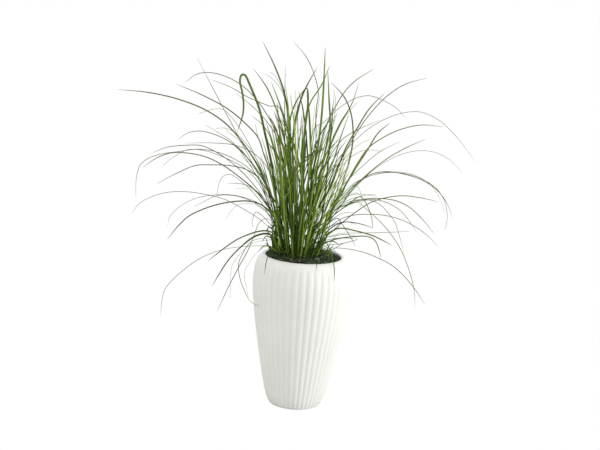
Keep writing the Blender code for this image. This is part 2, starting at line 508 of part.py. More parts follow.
def place_grown_blade(thicket, top, foot, owner, rng):
    """Tries directions until the blade has room and stays over the leafy core as it is seen."""
    outward = math.atan2(foot[1] - CLUMP_CENTRE[1], foot[0] - CLUMP_CENTRE[0])
    edge = float(np.hypot(foot[0] - CLUMP_CENTRE[0], foot[1] - CLUMP_CENTRE[1])) / CLUMP_RADIUS
    for attempt in range(GROWTH_TRIES):  # the later a try, the narrower the blade and the freer its heading
        half_width = rng.uniform(*GROWN_BLADES) / 1000 * (1.0 - 0.4 * attempt / GROWTH_TRIES)
        heading = outward + rng.normal(0.0, 1.0 + 5.0 * attempt / GROWTH_TRIES)
        arching = edge * (1.0 - abs(math.cos(heading))) ** 0.7
        lean = math.radians(rng.uniform(-1.0, 6.0 + attempt / 20) + 13.0 * edge)
        bend = math.radians(rng.uniform(3.0, 16.0) + arching * rng.uniform(10.0, 95.0))
        length = rng.uniform(0.25, 0.47) - 0.12 * (edge - arching) + arching * rng.uniform(0.0, 0.22)
        route = grown_route(top, heading, lean, bend, length)
        share = -VIEW_POINT[1] / (route[:, 1] - VIEW_POINT[1])
        seen = VIEW_POINT + (route - VIEW_POINT) * share[:, None]
        widest = np.interp(seen[:, 2], [c[0] for c in CORE_OUTLINE], [c[1] for c in CORE_OUTLINE])
        if (np.abs(seen[:, 0] - CLUMP_CENTRE[0]) > widest).any() or seen[-1, 2] > CORE_TOP:
            continue
        low = seen[:, 2].min() < 0.43 if route[-1, 1] < 0 else route[-1, 2] < 0.30
        if low or not clears_pot(route):
            continue
        if thicket.room(*rods(route, half_width), owner) > BLADE_CLEARANCE:
            return route, half_width
    return None


def stations(route, half_width):
    """The sections of a blade's faceted solid, closer together where it bends: points and half widths."""
    fine = smooth_route(route, 72)
    reach, turned_by = along(fine), turning(fine)
    count = int(np.clip(round(4.2 + 2.7 * turned_by[-1]), 5, 14))
    effort = reach / reach[-1] + BEND_PULL * turned_by
    wanted = np.linspace(0.0, effort[-1], count + 1)
    points = np.column_stack([np.interp(wanted, effort, fine[:, i]) for i in range(3)])
    return points, blade_half_width(np.interp(wanted, effort, reach / reach[-1]), half_width)


def rods(route, half_width):
    """The stations as rods for the clearance test; a blade starts as thick as the sheath that it leaves."""
    points, radii = stations(route, half_width)
    radii[0] = SHEATH_RADIUS
    points = np.insert(points, 1, points[0] * 0.6 + points[1] * 0.4, axis=0)
    radii = np.insert(radii, 1, radii[0] * 0.6 + radii[1] * 0.4)
    return points, radii


def plan_clump():
    """Every tiller's foot, sheath top and blade routes."""
    rng = np.random.default_rng(LIFE_SEED)
    spots = crown_spots()
    free = list(range(len(spots)))
    rows = []
    for blades in sorted(READ_TILLERS, key=lambda row: row[0][2][0][1]):
        wanted = wanted_spot(blades)
        chosen = min(free, key=lambda k: float(np.hypot(*(spots[k] - wanted))))
        free.remove(chosen)
        rows.append((chosen, blades))
    rows += [(k, ()) for k in free]
    rows.sort(key=lambda row: row[0])

    thicket = Thicket()
    tillers = []
    for number, (spot, blades) in enumerate(rows):
        foot = np.array((*spots[spot], SOIL_CROWN - FOOT_DEPTH))
        top = sheath_top(foot, blades)
        kept_free = top + 0.3 * (top - foot)  # room for the sheath's own blades to part
        thicket.add(np.array((foot, kept_free)), np.full(2, SHEATH_RADIUS), number)
        tillers.append({"foot": foot, "top": top, "read": blades, "blades": []})
    read = [(abs(blade[2][-1][0]), number, blade) for number, t in enumerate(tillers) for blade in t["read"]]
    tightest = 1.0
    for _, number, blade in sorted(read, key=lambda row: row[:2]):
        best = (-1.0,)
        own_foot = tillers[number]["foot"]
        away = [float(np.linalg.norm(tiller["foot"] - own_foot)) for tiller in tillers]
        for other in np.argsort(away, kind="stable")[:8]:
            if best[0] < BLADE_CLEARANCE and len(tillers[other]["blades"]) < BLADES_EACH:
                placed = place_read_blade(thicket, tillers[other]["top"], blade, other)
                best = max(best, (placed[0], other, placed), key=lambda row: row[0])
        room, other, placed = best
        tightest = min(tightest, room)
        tillers[other]["blades"].append((*placed[1:], blade[0] >= FACING_WIDTH))
        thicket.add(*rods(*placed[1:]), other)
    for wanted in range(1, BLADES_EACH + 1):
        for number, tiller in enumerate(tillers):
            if len(tiller["blades"]) < wanted:
                grown = place_grown_blade(thicket, tiller["top"], tiller["foot"], number, rng)
                if grown is not None:
                    tiller["blades"].append((*grown, False))
                    thicket.add(*rods(*grown), number)
    for number, tiller in enumerate(tillers):
        shape_sheath(tiller)
    blade_count = sum(len(tiller["blades"]) for tiller in tillers)
    print("tightest read blade", round(tightest * 1000, 2), "mm;", blade_count, "blades")
    return tillers


def shape_sheath(tiller):
    """The sheath's corners are turned to face the blades, which are sorted round it."""
    axis = tiller["top"] - tiller["foot"]
    axis /= np.linalg.norm(axis)
    across = np.cross((0.0, 1.0, 0.0), axis)
    across /= np.linalg.norm(across)
    along = np.cross(axis, across)

    def bearing(blade):
        way = smooth_route(blade[0], 10)[2] - tiller["top"]
        return math.atan2(float(way @ along), float(way @ across))

    tiller["blades"].sort(key=bearing)
    offsets = [bearing(b) - math.tau * k / BLADES_EACH for k, b in enumerate(tiller["blades"])]
    turn = math.atan2(sum(map(math.sin, offsets)), sum(map(math.cos, offsets)))
    angles = turn + math.tau * np.arange(BLADES_EACH) / BLADES_EACH
    tiller["axis"] = axis
    tiller["corners"] = SHEATH_RADIUS * (np.cos(angles)[:, None] * across + np.sin(angles)[:, None] * along)


# ---------------------------------------------------------------- tillers
def turned(vector, start, end):
    """The vector carried from one direction to the next with no twist."""
    axis = np.cross(start, end)
    sine = float(np.linalg.norm(axis))
    if sine < 1e-9:
        return vector
    axis /= sine
    cosine = float(start @ end)
    return vector * cosine + np.cross(axis, vector) * sine + axis * (axis @ vector) * (1 - cosine)


def turned_to_view(under, way, point):
    """Twists a section so far about its blade that its flat side, front or back, comes to face the viewer."""
    sight = point - VIEW_POINT
    sight -= way * (sight @ way)
    sight *= math.copysign(1.0, float(sight @ under)) / np.linalg.norm(sight)
    angle = math.atan2(float(np.cross(under, sight) @ way), float(under @ sight))
    angle = float(np.clip(angle, -FACING_TURN, FACING_TURN))
    return under * math.cos(angle) + np.cross(way, under) * math.sin(angle)


def extrude_blade(bm, face, outward, blade):
    """Draws a corner face of the sheath out along the blade's route, section by section, to a point."""
    route, half_width, faces_viewer = blade
    points, radii = stations(route, half_width)
    ways = np.gradient(points, axis=0)
    ways /= np.linalg.norm(ways, axis=1)[:, None]
    under = outward / np.linalg.norm(outward)
    under -= ways[0] * (under @ ways[0])
    under /= np.linalg.norm(under)
    for k in range(1, len(points)):
        under = turned(under, ways[k - 1], ways[k])
        if faces_viewer:
            under = turned_to_view(under, ways[k], points[k])
        across = np.cross(ways[k], under)
        face = bmesh.ops.extrude_discrete_faces(bm, faces=[face])["faces"][0]
        corners = [loop.vert for loop in face.loops]
        if k == len(points) - 1:
            bmesh.ops.pointmerge(bm, verts=corners, merge_co=points[k])
            return
        # the loop starts at the edge that comes first round the sheath: edge, keel, edge
        keel = under * (KEEL_SHARE * radii[k] + 0.0004)
        lift = under * (-0.15 * radii[k])
        for corner, offset in zip(corners, (lift - across * radii[k], keel, lift + across * radii[k])):
            corner.co = points[k] + offset


def make_tiller(name, tiller, material):
    """Foot and sheath as a prism, with its top parted into one corner face for each blade."""
    bm = bmesh.new()
    corners = tiller["corners"]
    middles = 0.76 * (corners + np.roll(corners, 1, axis=0)) / 2 / math.cos(math.pi / BLADES_EACH)
    foot_ring = add_ring(bm, tiller["foot"] + corners)
    corner_ring = add_ring(bm, tiller["top"] + corners)
    middle_ring = add_ring(bm, tiller["top"] + middles)
    bm.faces.new(list(reversed(foot_ring)))
    for k in range(BLADES_EACH):
        after = (k + 1) % BLADES_EACH
        bm.faces.new((foot_ring[k], foot_ring[after], corner_ring[after], middle_ring[after], corner_ring[k]))
    bm.faces.new(middle_ring)
    for k in range(BLADES_EACH):
        face = bm.faces.new((middle_ring[k], corner_ring[k], middle_ring[(k + 1) % BLADES_EACH]))
        if k < len(tiller["blades"]):
            extrude_blade(bm, face, corners[k], tiller["blades"][k])
    return add_object(name, bm, material)


def main():
    clear_scene()
    tillers = plan_clump()
    make_pot()
    make_soil(tillers)
    for number, tiller in enumerate(tillers):
        name = f"tiller_{number + 1:02d}"
        make_tiller(name, tiller, finish(name, (0.16, 0.30, 0.05), 0.5))


main()
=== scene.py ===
"""The looks of the potted ornamental grass clump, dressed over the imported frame.

Metres, +Z up, the pot's underside at z = 0, and -Y towards the viewer. Each tiller of the frame is read back
as blades (a line of sections from the sheath to the tip), and a fine leaf is laid along every one of them.
"""

import math

import bpy
import numpy as np
from mathutils import Matrix, Vector, noise


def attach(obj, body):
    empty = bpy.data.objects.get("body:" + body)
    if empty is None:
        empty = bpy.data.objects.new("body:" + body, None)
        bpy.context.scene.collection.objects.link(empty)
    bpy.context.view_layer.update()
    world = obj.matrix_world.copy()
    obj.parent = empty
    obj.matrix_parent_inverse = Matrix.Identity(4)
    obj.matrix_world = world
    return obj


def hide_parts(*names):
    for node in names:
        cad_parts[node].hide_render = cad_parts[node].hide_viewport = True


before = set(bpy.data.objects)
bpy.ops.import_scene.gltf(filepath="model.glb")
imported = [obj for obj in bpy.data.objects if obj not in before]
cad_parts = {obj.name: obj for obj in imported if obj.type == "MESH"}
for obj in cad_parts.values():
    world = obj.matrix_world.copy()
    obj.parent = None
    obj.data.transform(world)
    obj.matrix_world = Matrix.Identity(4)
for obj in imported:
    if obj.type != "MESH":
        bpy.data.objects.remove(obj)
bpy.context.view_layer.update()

CM, MM = 100, 1000  # in a metre

# ---------------------------------------------------------------- view and light
VIEW_POINT = Vector((0.0, -2.800, 1.056))
VIEW_DOWN = math.radians(11.7)
VIEW_PAN = math.radians(-0.27)
VIEW_ROLL = math.radians(3.55)  # the camera was not held level, so the pot seems to lean
LENS_MM = 66.96
SENSOR_WIDTH_MM = 36.0

ROOM_TINT = (1.0, 0.995, 0.985)
ROOM_STRENGTH = 1.160
FLOOR_SIZE = 30.0
FLOOR_GAP = 0.0003  # between the floor and the pot's underside
FLOOR_COLOUR = (0.62, 0.62, 0.61)
LIGHT_AIM = Vector((0.0, 0.0, 0.30))
LIGHTS = (  # (name, place, size, watts)
    ("key", (2.3, -0.50, 0.65), 0.5, 22.0),
    ("rim", (1.5, 1.6, 0.7), 1.2, 7.0),
)

# ---------------------------------------------------------------- pot
RIB_COUNT = 42
RIB_TURN = math.radians(-2.6)
RIB_DEPTH = 0.0036
VALLEY_SHARE = 0.78  # of the depth: the valley between two round ribs; the rest is a shallow bowl
VALLEY_STEEPNESS = 0.985  # at 1 the walls of the valley would meet upright
GROOVE_SHADE_NARROWNESS = 6  # how closely the painted shade in a groove keeps to the bottom of its valley
COLUMNS_PER_RIB = 8
FOOT_FLAT = 0.058  # radius of the flat underside
OUTSIDE = (  # (height, radius over the crests), from the underside up and over the lip
    (0.0000, 0.0580),
    (0.0004, 0.0640),
    (0.0022, 0.0684),
    (0.0070, 0.0715),
    (0.0160, 0.0752),
    (0.0280, 0.0792),
    (0.0500, 0.0846),
    (0.0950, 0.0936),
    (0.1450, 0.1024),
    (0.1900, 0.1100),
    (0.2400, 0.1178),
    (0.2800, 0.1232),
    (0.3100, 0.1258),
    (0.3350, 0.1264),
    (0.3520, 0.1252),
    (0.3660, 0.1232),
    (0.3770, 0.1205),
    (0.3860, 0.1165),
    (0.3935, 0.1110),
    (0.3980, 0.1050),
    (0.3990, 0.1010),
    (0.3968, 0.0978),
)
PROFILE_STEP = 0.006
INSIDE_STEPS = ((0.3880, 0.0990), (0.3720, 0.1085))  # (height, radius), down behind the compost
INSIDE_DRAWS = ((-0.045, 1.07), (-0.150, 0.86), (-0.155, 0.67))  # (drop, factor on the radius) from there
RIB_START, RIB_FULL = 0.002, 0.014  # heights
RIB_FADE, RIB_END = 0.372, 0.3865
OUT_OF_ROUND = (  # (size, waves round, turn for each metre up, start): thrown and glazed by hand
    (0.0004, 2, 9.0, 0.0),
    (0.0003, 3, -14.0, 1.0),
)
TRUE_RINGS = 3  # rings at the foot that stay round
POT_SHARP_ANGLE = math.radians(50)

# A paint's stops are (value, colour) pairs, or (value, share) where they say how much of a colour shows.
GLAZE_TONES = ((0.25, (0.710, 0.718, 0.685)), (0.75, (0.765, 0.775, 0.742)))
GLAZE_ROUGHNESS = ((0.3, 0.30), (0.7, 0.42))
GLAZE_SPECK = (0.42, 0.41, 0.38)
GLAZE_SPECKS = ((0.70, 0.0), (0.76, 1.0))
GLAZE_SPECK_SHARE = 0.10
# painted shade: the greyer colour at the bottoms of the grooves, and how much of it shows
GROOVE_SHADE_COLOUR = (0.56, 0.57, 0.54)
GROOVE_SHADE_SHARE = 0.28
GLAZE_SHINE = 0.45

# ---------------------------------------------------------------- soil
SOIL_TOP = 0.401  # of the frame's soil
CLUMP_CENTRE = Vector((-0.014, -0.006, 0.0))  # middle of the shoots' feet
SOIL_EDGE = 0.3915  # height of the compost at the wall
HEAP_RISE = 0.0085
HEAP_FLAT, HEAP_SLOPE = 0.055, 0.040  # how far the heap is level, and over what distance it falls
SOIL_LUMPS = ((0.0022, 60.0), (0.0012, 170.0))  # (height, how close together)
SOIL_RADIUS = 0.0975
SOIL_SIDES = 96
SOIL_CUTS = 5
SOIL_DISC = 0.39  # height that the disc is added at, before it is heaped
SOIL_DRAWS = ((-0.030, 1.06), (-0.330, 0.63))  # (drop, factor on the radius) down inside the pot
SOIL_SURFACE = 0.385  # points above this belong to the surface
STRAW_LEVEL = SOIL_TOP - 0.006  # no thatch or crossing stem lies lower than this

COMPOST_TONES = (
    (0.30, (0.003, 0.004, 0.003)),
    (0.48, (0.009, 0.011, 0.007)),
    (0.60, (0.021, 0.022, 0.015)),
    (0.74, (0.055, 0.052, 0.040)),
)
ALGAE = (0.012, 0.032, 0.009)
ALGAE_FILM = ((0.48, 0.0), (0.62, 0.8))

# Loose bits strewn over the compost. The colours run from dark to light, the grain is the scale of the
# paint's noise, a lump is (subdivisions, roughness, place in its noise), the sizes are the least and the
# greatest radius, and the reach is from the pot's axis.
LITTER = (
    dict(
        piece="compost_crumbs",
        paint="crumbs",
        colours=((0.005, 0.006, 0.004), (0.022, 0.022, 0.016), (0.085, 0.080, 0.066)),
        roughness=0.90,
        grain=300.0,
        lump=(2, 0.5, 1.0),
        count=900,
        sizes=(0.0010, 0.0032),
        flattening=(1.0, 1.0, 0.7),
        reach=0.095,
        seed=11,
    ),
    dict(
        piece="bark",
        paint="bark_chips",
        colours=((0.018, 0.017, 0.012), (0.085, 0.080, 0.060), (0.260, 0.250, 0.205)),
        roughness=0.85,
        grain=220.0,
        lump=(2, 0.7, 7.0),
        count=260,
        sizes=(0.0018, 0.0046),
        flattening=(1.5, 0.6, 0.35),
        reach=0.092,
        seed=12,
    ),
    dict(
        piece="grit_grains",
        paint="grit",
        colours=((0.10, 0.10, 0.095), (0.24, 0.24, 0.225), (0.42, 0.42, 0.40)),
        roughness=0.70,
        grain=400.0,
        lump=(1, 0.3, 3.0),
        count=120,
        sizes=(0.0005, 0.0011),
        flattening=(1.0, 1.0, 0.7),
        reach=0.094,
        seed=13,
    ),
    dict(
        piece="moss_cushions",
        paint="moss",
        colours=((0.008, 0.022, 0.006), (0.030, 0.072, 0.018), (0.08, 0.15, 0.04)),
        roughness=0.95,
        grain=500.0,
        lump=(2, 0.9, 5.0),
        count=460,
        sizes=(0.0014, 0.0040),
        flattening=(1.0, 1.0, 0.7),
        reach=0.095,
        seed=14,
    ),
)
LITTER_STOPS = (0.0, 0.6, 1.0)  # tones that the three colours belong to
LITTER_GRAIN_SHARE, LITTER_GRAIN_LEVEL = 0.45, 0.22  # how much the grain shifts the tone, and its middle
LITTER_STRETCH = (0.8, 1.25)  # least and greatest factor on each side of a bit
LITTER_TILT = 0.4  # spread of a bit's lean, in radians
LITTER_LIFT = 0.25  # height of a bit's middle above the compost, as a share of its own
LITTER_FREE = 0.05  # share of the compost's area, in its middle, that has no litter
LUMP_KNOBS = 1.7  # scale of the noise that roughens a lump

# ---------------------------------------------------------------- leaves
POINT_DIGITS = 6  # decimals of a metre to which two corners of the frame are the same point
LEAST_SECTIONS = 3  # of a blade of the frame
LEAF_SIDES = 8
LEAF_LENGTHWAYS = 44  # faces along a leaf
FINE_STEPS = 10  # finer steps that the line of a leaf is worked out in, for each face
FOLD_EASE = 5  # fine steps over which a sharp fold is rounded
BEND_SHARE = 0.06  # how strongly a bend draws the points of the line together
LEAF_THICKNESS = 0.00016  # half of it, at the edges
MIDRIB_SWELL = 1.2  # how much thicker a leaf is at its middle, as a share of its edges
FULL_THICKNESS_WIDTH = 0.0006  # a leaf whose half width is less than this is thinner too
LEAST_HALF_WIDTH = 0.0003
TIP_WIDTH = 0.22  # width of a leaf just short of its point, as a share of its greatest width
LEAF_FULLNESS = 0.33  # below 1, a leaf keeps more of its width towards the tip than the solid does
FOLD_STATIONS = (0.0, 0.10, 0.24, 0.75, 1.0)  # shares of the length where the V of a leaf changes
SHEATH_FOLDS = (1.5, 1.1)  # rise of the V's arms at the first two stations
LEAF_FOLDS = (0.25, 0.50)  # least and greatest rise of the arms above the sheath
TIP_FOLD = 1.4  # how much tighter the V is at the tip
KEEL_DROP = 0.35  # share of the V's rise that lies below the line of the leaf
LEAF_TWIST = ((0.15, 0.60), (0.0, 0.85))  # shares of the length, and how far the face has turned by there
LEAF_SWING = math.radians(28)  # spread of the angle between a leaf's face and the viewer
MOST_SWING = 1.0  # in radians
UPRIGHT_REACH = 0.16  # how far the tip of an upright leaf may lie from the middle of the clump
UPRIGHT_WIDTH = 0.61  # width of an upright leaf, as a share of its solid's
ARCHING_WIDTH, ARCHING_SLIMMING = 1.6, 0.00095  # of an arching leaf: a share of its solid's, less this
SHEATH_HALF_WIDTHS = (0.0021, 0.0020, 0.0019)
SHEATH_SPREAD = 0.55  # how far the leaves of a sheath keep to their own sides of it
FOOT_REACH = 0.075  # every shoot's foot stands within this distance of the clump's middle
FOOT_DEPTH = 0.004  # how far below the top of the soil a leaf's foot goes
FOOT_LIFT = 0.002  # how far above its foot's centre the line of a leaf starts
SHOOT_SEED = 5

# The tone of a leaf runs from 0, dark, to 1, bright, partly its own green and partly painted light, and its
# painted shade from 0, none, to 1.
TONE, TONE_SPREAD = 0.56, 0.20
PAINTED_LIGHT_TO_BACK, PAINTED_LIGHT_TO_RIGHT = -4.4, 2.4  # painted light: change of tone for each metre that the foot stands from the clump's middle, darker to the back and brighter to the right
TONE_FAR, TONE_LOW = -0.12, -0.25  # for a leaf that reaches far out, and for one whose tip hangs low
NEAR_TIP, FAR_TIP = 0.10, 0.28  # distances of tip from foot where a leaf starts to be, and is, a far one
LOW_TIP = 0.50
DRY_SHARES = (0.02, 0.14)  # least and greatest withered share of a leaf that doesn't reach far out
DRY_FAR = 0.50  # how much more of a far one is withered
SHADE, SHADE_SPREAD = 0.62, 0.60
SHADE_TO_BACK = 14.0
SHADE_LOW = 0.5  # share of its shade that a leaf keeps whose tip hangs low
SHADE_FADE = ((0.0, 0.22, 0.68), (1.0, 0.9, 0.0))  # shares of the length, and the share of the shade there

LEAF_GREENS = (  # by tone
    (0.00, (0.014, 0.029, 0.004)),
    (0.30, (0.052, 0.098, 0.011)),
    (0.62, (0.154, 0.256, 0.029)),
    (1.00, (0.390, 0.510, 0.080)),
)
MOTTLE_SHARE = 0.5  # how far the mottle shifts the tone
VEINS_ALONG, VEINS_ACROSS = 6.0, 46.0  # scale of the veins' noise, over the length and the width
VEIN_TINT = (0.86, 0.92, 0.75)
MIDRIB = (0.34, 0.44, 0.13)
MIDRIB_WIDTH = ((0.02, 0.30), (0.09, 0.0))  # by distance off the middle, as a share of the width
SHEATH = (0.170, 0.255, 0.048)
SHEATH_LENGTH = ((0.00, 0.55), (0.12, 0.0))  # by share of the length
WITHERED = ((0.20, (0.058, 0.072, 0.024)), (0.70, (0.190, 0.190, 0.080)))  # by tone
WITHER_EASE = ((0.0, 0.0), (0.22, 0.8))  # by share of the length, from where the tip starts to wither
DEEP_SHADE = (0.004, 0.013, 0.005)
LEAF_SHINE = 0.10

# Blades whose look stands out in the photo: where the tip is seen on the upright plane through the pot's
# axis, as x and z in cm; tone; greatest half width in mm. None leaves either to the rule for all blades. The
# blades of the groups further down take only their tone from here.
READ_LOOKS = (
    (-13.5, 93.7, 0.45, 2.3),
    (-10.8, 83.8, 0.50, 2.5),
    (-15.5, 86.8, 0.50, 1.9),
    (-7.4, 88.0, None, 1.2),
    (-18.6, 70.3, 0.42, 2.8),
    (-32.7, 81.6, 0.40, 1.1),
    (-26.3, 83.4, 0.35, 1.2),
    (-29.7, 88.8, 0.45, 1.2),
    (-34.8, 81.7, 0.48, 1.7),
    (-20.1, 80.7, None, 1.2),
    (-15.4, 75.0, 0.50, 1.5),
    (-49.4, 79.3, 0.42, 1.7),
    (-33.8, 67.4, 0.45, 1.3),
    (-31.9, 66.8, None, 1.0),
    (-20.4, 68.0, 0.50, 1.7),
    (-43.6, 51.4, 0.30, 1.0),
    (-38.9, 55.7, None, 1.3),
    (-42.4, 59.7, None, 1.4),
    (-20.5, 57.2, None, 1.1),
    (-40.3, 63.6, None, 1.3),
    (-44.9, 47.5, 0.25, 0.9),
    (-35.3, 44.8, 0.30, 0.7),
    (-18.5, 55.9, None, 0.7),
    (-35.4, 41.3, 0.24, 1.6),
    (-20.5, 47.6, 0.35, 0.5),
    (-21.6, 22.9, None, 1.3),
    (-24.5, 36.6, 0.36, 1.5),
    (-23.2, 29.9, 0.34, 1.5),
    (-36.2, 20.8, 0.25, 0.9),
    (-18.2, 26.8, 0.35, 0.5),
    (-13.5, 27.3, 0.35, 0.5),
    (-9.7, 33.9, 0.04, 1.2),
    (-6.1, 94.2, 0.32, 1.1),
    (2.2, 93.2, 0.56, 2.9),
    (-1.7, 82.6, 0.40, 2.8),
    (3.7, 88.8, 0.50, 1.9),
    (0.6, 88.1, 0.36, 2.6),
    (3.2, 87.4, 0.40, 2.2),
    (9.3, 77.2, 0.50, 1.8),
    (-7.1, 83.0, None, 1.9),
    (-2.5, 76.5, 0.56, 1.9),
    (5.1, 80.0, 0.34, 2.3),
    (4.0, 84.6, 0.30, 1.9),
    (11.2, 85.0, None, 1.5),
    (11.6, 80.4, None, 1.4),
    (14.9, 88.6, 0.55, 1.5),
    (17.9, 82.7, 0.55, 2.1),
    (23.9, 76.1, 0.45, 0.9),
    (28.5, 87.1, 0.45, 1.3),
    (42.4, 66.2, 0.40, 0.7),
    (17.3, 75.9, None, 1.3),
    (19.8, 75.3, 0.65, 1.9),
    (33.7, 75.0, 0.60, 1.5),
    (23.1, 70.9, 0.75, 1.1),
    (9.0, 69.0, None, 1.0),
    (29.4, 71.9, 0.80, 1.4),
    (39.2, 63.6, 0.40, 0.7),
    (37.7, 51.6, 0.40, 1.1),
    (35.9, 52.4, 0.60, 0.6),
    (34.0, 55.8, 0.50, 1.4),
    (33.5, 47.1, 0.45, 1.2),
    (29.0, 47.2, 0.45, 1.1),
    (25.8, 42.0, 0.45, 0.9),
    (17.3, 47.4, None, 1.3),
    (34.7, 44.0, 0.40, 1.2),
    (27.3, 47.8, 0.40, 1.0),
    (22.7, 43.7, 0.42, 1.8),
    (20.1, 40.0, 0.42, 1.5),
    (29.9, 27.6, 0.65, 1.2),
    (32.6, 28.3, 0.50, 1.2),
    (13.9, 44.8, None, 0.9),
    (8.3, 32.9, 0.34, 1.3),
    (3.5, 35.6, 0.05, 1.0),
    (8.6, 65.5, 0.10, None),
    (4.7, 63.6, 0.05, None),
    (-2.5, 81.8, 0.25, None),
)
SAME_TIP = 0.012

# The finest blades of the photo, each as (depth of its tip, its route as (x, z) seen on the upright plane
# through the pot's axis), all in cm. A route starts where the blade comes clear of the clump.
FINE_BLADES = (
    # out to the left
    (-6, ((-14, 61), (-17, 65), (-20.3, 68.4), (-22.7, 69.7), (-25, 70.9), (-26.9, 71.9))),
    (4, ((-15.5, 66), (-18.8, 69), (-20.5, 70.1), (-22, 71.3))),
    (8, ((-16, 67.5), (-19, 70.2), (-21.5, 71.3), (-24.5, 70.9))),
    (-4, ((-18, 71.5), (-20.5, 74.5), (-22.5, 76), (-25.5, 75.7), (-29, 74.2))),
    (5, ((-15, 60.5), (-22, 64), (-28, 65.4), (-31, 65.2), (-33.7, 63.6), (-35.9, 61.9), (-37.3, 60.2))),
    (-7, ((-13, 54.5), (-17, 58), (-20.2, 59.6), (-21.6, 59), (-22.3, 57.8), (-22.8, 55.5), (-22.9, 53.4))),
    (-5, ((-9.8, 48.2), (-11.6, 49.8), (-12.8, 50.3), (-13.4, 48.9), (-13.6, 47.3), (-13.2, 46))),
    (2, ((-12.5, 60.5), (-14.2, 61.8), (-16, 63.4), (-17.6, 64.9))),
    (3, ((-10, 50.5), (-19, 54.2), (-23.7, 53.6), (-25.6, 52.5), (-27.1, 51.6), (-29, 50.5))),
    (
        -8,
        (
            (-9, 43.4), (-13.5, 42.5), (-15.5, 39.4), (-16.6, 35.8),
            (-16.1, 33), (-15, 30), (-12.4, 26.1), (-10.2, 25.4),
        ),
    ),
    # upright
    (6, ((-6.6, 78.5), (-7.8, 81.7), (-8.9, 83.9), (-10.2, 85.5), (-11.6, 86.1))),
    (9, ((-6.8, 79), (-8.3, 82), (-9.5, 83.5), (-11.2, 84.9), (-12.8, 85.6))),
    (4, ((-12.2, 67), (-13.4, 70), (-14.2, 73.2))),
    (3, ((-3.8, 74), (-3.4, 77), (-2.9, 80), (-2.8, 82))),
    (4, ((-4.5, 74), (-4.3, 78), (-4.6, 82.5))),
    (4, ((5.4, 73), (5.7, 77), (5.5, 81.5))),
    (-3, ((4.0, 74), (4.9, 77.5), (5.2, 81), (5.0, 83.2))),
    # out to the right
    (-5, ((8, 63), (11.3, 66.6), (13.2, 67.7), (15.4, 68.1), (18.5, 67.8))),
    (5, ((9, 65.5), (10.9, 68), (13.4, 70), (15.6, 71))),
    (-8, ((6.5, 53), (10.5, 57.5), (12, 59), (13.2, 57.8), (13.8, 56.3), (14, 54.3), (13.5, 52.9))),
    (-7, ((8, 54.5), (13, 56.6), (15.2, 56.5), (17.8, 56.3))),
    (
        10,
        (
            (12, 59.5), (20, 62.6), (28, 61.8), (33.5, 58.5),
            (35.3, 55.5), (36, 52.8), (36.1, 50.5), (35.6, 48.3),
        ),
    ),
    (-4, ((7.5, 50.2), (9, 51.2), (10.2, 51.6), (12.2, 51.6))),
    (-6, ((9, 54.5), (11, 56.2), (12.5, 56.9), (13.4, 56.2))),
    (-5, ((10, 54.5), (14, 56.2), (16.3, 56.7), (18, 56.6))),
    (-5, ((7.5, 41.8), (10.3, 43.6), (11.9, 44.1), (13.1, 44.6), (13.8, 45.1))),
    (-6, ((5, 44.5), (7.5, 45.3), (10.5, 45.9), (13.5, 45.6))),
    (-7, ((5, 43.8), (7.5, 44.6), (10, 44.9), (12.8, 44.9))),
    (2, ((5.5, 47), (8, 48.6), (10.8, 49.2), (13.2, 48.6))),
    (-7, ((4.6, 40.6), (6.1, 41.8), (7, 44), (8.8, 46.3))),
)

# Curled dead leaves close to the soil, in the same way.
BASE_LEAVES = (
    (-3, ((-7.0, 42.5), (-7.9, 45.5), (-9.2, 46.6), (-10.0, 45.2))),
    (-4, ((-7.2, 41.5), (-8.6, 43.8), (-9.8, 44.2), (-10.7, 42.6))),
    (-2, ((-6.6, 43.0), (-7.4, 46.6), (-7.2, 49.2), (-8.1, 50.6))),
    (-5, ((-7.4, 40.6), (-8.9, 41.6), (-10.4, 41.4), (-11.6, 39.9))),
    (-1, ((-7.6, 41.8), (-8.3, 44.0), (-9.5, 45.4), (-9.3, 47.2))),
    (-6, ((4.0, 41.8), (5.8, 43.6), (7.4, 43.9), (9.2, 43.0))),
    (-5, ((4.4, 42.6), (5.6, 45.0), (7.2, 46.6), (8.9, 47.9))),
    (-4, ((-5.5, 41.0), (-6.6, 44.5), (-7.4, 48.0), (-8.6, 51.5))),
    (-3, ((-5.0, 41.0), (-6.0, 45.0), (-7.6, 49.5), (-9.8, 53.5))),
    (-5, ((-6.0, 40.5), (-7.6, 43.0), (-8.4, 46.5), (-8.6, 49.5))),
    (-4, ((-5.8, 40.8), (-7.2, 42.8), (-7.6, 45.0), (-7.5, 47.6))),
)

# Stems that lean out to the right low in the clump, in the same way.
LEANING_STEMS = (
    (-6, ((3.8, 45.6), (5.6, 48.3), (7.2, 50.8), (9.1, 53.8), (11.1, 57), (13.1, 59.5), (15, 61.7))),
    (
        -3,
        ((3.4, 45), (5.4, 49), (7.3, 53.2), (9.1, 56.9), (9.9, 59.3), (11.3, 61.8), (12.8, 65), (13.9, 67.5)),
    ),
    (-5, ((3, 44.4), (5, 48.6), (6.8, 52.4), (8.2, 56), (9, 59.6), (9.6, 62.6), (10, 65.6), (10.2, 68))),
    (-7, ((-0.5, 45), (1.2, 48), (3.2, 51.4), (4.6, 54.6), (6.4, 58.4), (8, 61), (9.4, 62.6))),
    (
        -6,
        (
            (-0.4, 53), (0.6, 55.8), (1.6, 57.6), (3.6, 60.1),
            (4.7, 61.4), (6.4, 62.9), (7.9, 64.5), (8.6, 65.5),
        ),
    ),
    (-8, ((-0.2, 56), (0.4, 59.6), (1.1, 61.7), (1.8, 62.5), (3, 63.2), (4.7, 63.6))),
)

# A stem near the middle whose end is folded over, in the same way.
FOLDED_STEM = (
    (-2, ((-1.4, 66), (-1.6, 72.3), (-1.5, 75.6), (-1.2, 78.5), (-1.3, 81.3), (-1.7, 82.6), (-2.5, 81.8))),
)

